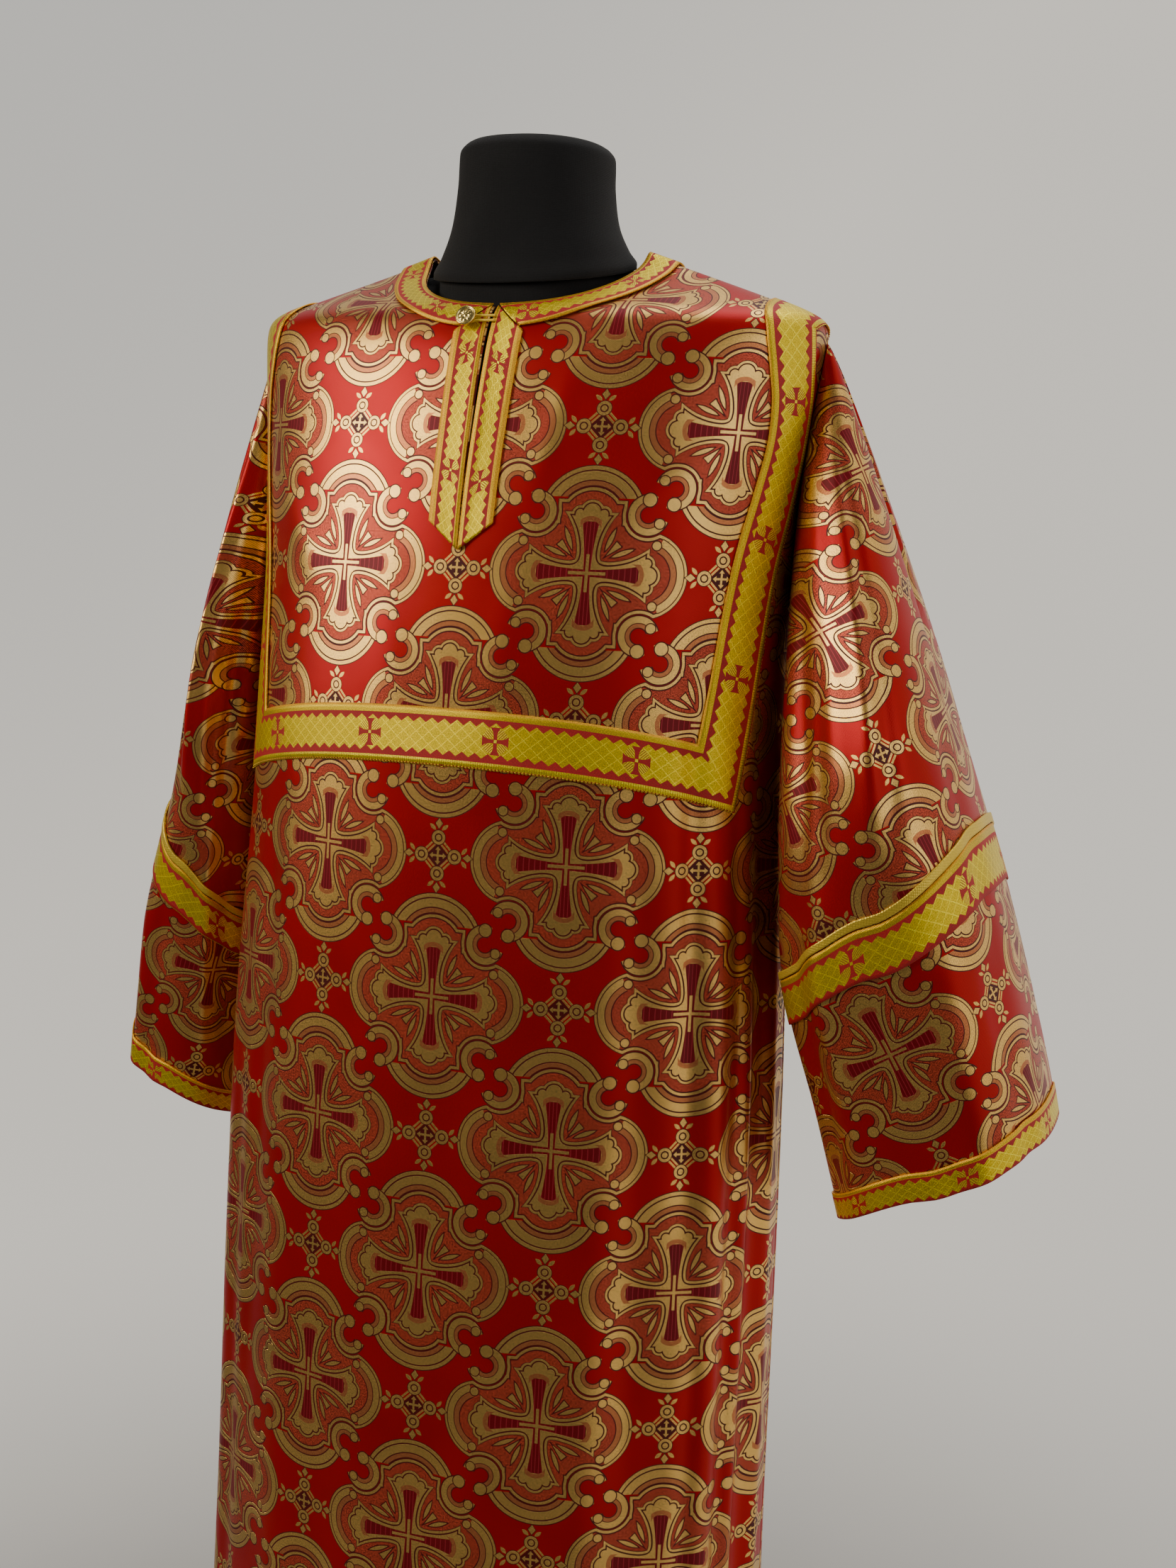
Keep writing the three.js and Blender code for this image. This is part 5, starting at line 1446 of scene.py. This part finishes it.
def picotGroup():
    group = bpy.data.node_groups.new("picots", "GeometryNodeTree")
    group.interface.new_socket("Edge", in_out="INPUT", socket_type="NodeSocketGeometry")
    for name in ("Spacing", "Radius", "Thread"):
        group.interface.new_socket(name, in_out="INPUT", socket_type="NodeSocketFloat")
    group.interface.new_socket("Picots", in_out="OUTPUT", socket_type="NodeSocketGeometry")
    given = nodeIn(group, "NodeGroupInput").outputs
    line = nodeIn(group, "GeometryNodeMeshToCurve", {"Mesh": given["Edge"]})
    spread = nodeIn(group, "GeometryNodeResampleCurve", {
        "Curve": line.outputs["Curve"], "Length": given["Spacing"]}, mode="LENGTH")
    ring = nodeIn(group, "GeometryNodeCurvePrimitiveCircle", {
        "Resolution": picot["sides"], "Radius": given["Radius"]})
    strand = nodeIn(group, "GeometryNodeCurvePrimitiveCircle", {
        "Resolution": 4, "Radius": given["Thread"]})
    single = nodeIn(group, "GeometryNodeCurveToMesh", {
        "Curve": ring.outputs["Curve"], "Profile Curve": strand.outputs["Curve"]})
    tangent = nodeIn(group, "GeometryNodeInputTangent")
    turned = nodeIn(group, "FunctionNodeAlignRotationToVector", {
        "Vector": tangent.outputs["Tangent"]}, axis="X")
    placed = nodeIn(group, "GeometryNodeInstanceOnPoints", {
        "Points": spread.outputs["Curve"], "Instance": single.outputs["Mesh"],
        "Rotation": turned.outputs["Rotation"]})
    real = nodeIn(group, "GeometryNodeRealizeInstances", {"Geometry": placed.outputs["Instances"]})
    painted = nodeIn(group, "GeometryNodeSetMaterial", {
        "Geometry": real.outputs["Geometry"], "Material": picotThread})
    nodeIn(group, "NodeGroupOutput", {"Picots": painted.outputs["Geometry"]})
    return group

picots = picotGroup()

def picotEdge(name, line):
    mesh = bpy.data.meshes.new(name)
    mesh.from_pydata(line.tolist(), [(k, k + 1) for k in range(len(line) - 1)], [])
    guide = newObject(name, mesh)
    modifier = guide.modifiers.new("picots", "NODES")
    modifier.node_group = picots
    for item in picots.interface.items_tree:
        if item.in_out == "INPUT" and item.name.lower() in picot:
            modifier[item.identifier] = picot[item.name.lower()]
    bpy.context.view_layer.update()
    seen = guide.evaluated_get(bpy.context.evaluated_depsgraph_get())
    made = bpy.data.meshes.new_from_object(seen)
    guide.modifiers.remove(modifier)
    guide.data = made
    return settle(guide, "galloon")

print("stage: materials")

front, frontArea = panel("front_panel", -1, brocade, lining)
back, backArea = panel("back_panel", 1, brocade, lining)
print("stage: panels", round(frontArea, 4), round(backArea, 4))
sleeveMade = {}
for label in ("left", "right"):
    obj, area, points, normals = sleeve(label, brocade, lining)
    first, last = sleeves[label]["band"]
    around = [
        sleeveTrim(f"sleeve_band_{label}", points, normals, first, last, trims["wideColumns"],
                   trims["lift"], trims["wall"], galloonWide, "galloon"),
        sleeveTrim(f"sleeve_piping_{label}", points, normals, first - sleeves["pipingFrom"],
                   first - sleeves["pipingTo"], trims["pipingColumns"], trims["lift"],
                   trims["pipingWall"], piping, "gold_piping"),
        sleeveTrim(f"cuff_galloon_{label}", points, normals, sleeves["cuffFrom"], sleeves["cuffTo"],
                   trims["narrowColumns"], trims["lift"], trims["wall"], galloon, "galloon"),
    ]
    sleeveMade[label] = (obj, area, around)
print("stage: sleeves", [round(sleeveMade[k][1], 4) for k in sleeveMade])
frontTrims = [*yokeTrim(-1, galloonWide)] + [placketTrim(side, galloon) for side in (1, -1)]
frontTrims += [neckTrim(-1, side, galloon) for side in (1, -1)]
backTrims = [*yokeTrim(1, galloonWide)] + [neckTrim(1, side, galloon) for side in (1, -1)]
print("stage: galloons")
buttonPiece, loopPiece = buttonMesh(brass), loopMesh(cord)
torso(jersey)
neckBlock(jersey)
for name, profile in (("stand_pole", ((0, form["poleFoot"]), (form["poleRadius"], form["poleFoot"]),
                                      (form["poleRadius"], form["poleTop"]), (0, form["poleTop"]))),
                      ("stand_base", form["base"])):
    part = latheMesh(name, profile, 96, steel)
    part.data.polygons.foreach_set("use_smooth", [name == "stand_base"] * len(part.data.polygons))
    settle(part, "stand_metal", name)
print("stage: form and stand")

room = {
    # the pale wall behind, and the dimmer room in front of it
    "behind": (0.80, 0.755, 0.68), "beside": (0.30, 0.33, 0.35), "around": (0.085, 0.083, 0.080),
    "lights": {
        "window": {"place": (-2.1, -1.7, 2.2), "toward": (0, 0, 1.15), "size": 1.3, "power": 58,
                   "tint": (1.0, 0.93, 0.80)},
        "fill": {"place": (2.6, -2.2, 2.4), "toward": (0, 0, 1.1), "size": 1.6, "power": 15,
                 "tint": (0.96, 0.98, 1.0)},
        "above": {"place": (0.3, 0.3, 3.2), "toward": (0, 0, 1.2), "size": 1.4, "power": 16,
                  "tint": (1.0, 1.0, 1.0)},
    },
}

def stagePlace():
    bpy.ops.mesh.primitive_circle_add(vertices=96, radius=2.2, fill_type="NGON")
    floor = bpy.context.object
    floor.name = "floor"
    floor.data.materials.append(floorMaterial)
    world = bpy.data.worlds.new("air")
    world.use_nodes = True
    tree = world.node_tree
    place = Cell(nodeIn(tree, "ShaderNodeTexCoord").outputs["Generated"])
    x, y, z = place.parts()
    toWall = (y * 0.80 + x * 0.60).scaled(0.9, 0.35, clamp=True)
    leftward = (x * -1.0 + z * 0.9).scaled(1.5, -0.62, clamp=True)
    cloud = place.noise(1.6, 2.0)
    colour, _ = toWall.ramp([(0.0, room["around"]), (0.55, room["behind"]), (1.0, room["behind"])], "EASE")
    colour = colour.mixTint(leftward * toWall, room["beside"])
    shade = (cloud - 0.5) * 0.30 + 1
    finishWith(tree.nodes["Background"], {
        "Color": colour.mixTint(1.0, grey(shade), "MULTIPLY"), "Strength": 1.0})
    bpy.context.scene.world = world
    for name, light in room["lights"].items():
        data = bpy.data.lights.new(name, "AREA")
        data.energy, data.size, data.color = light["power"], light["size"], light["tint"]
        obj = newObject(name, data)
        obj.location = light["place"]
        toward = Vector(light["toward"]) - Vector(light["place"])
        obj.rotation_euler = toward.to_track_quat("-Z", "Y").to_euler()

stagePlace()

frontTrims + [buttonPiece, loopPiece]
for label in ("left", "right"):
    obj, area, around = sleeveMade[label]
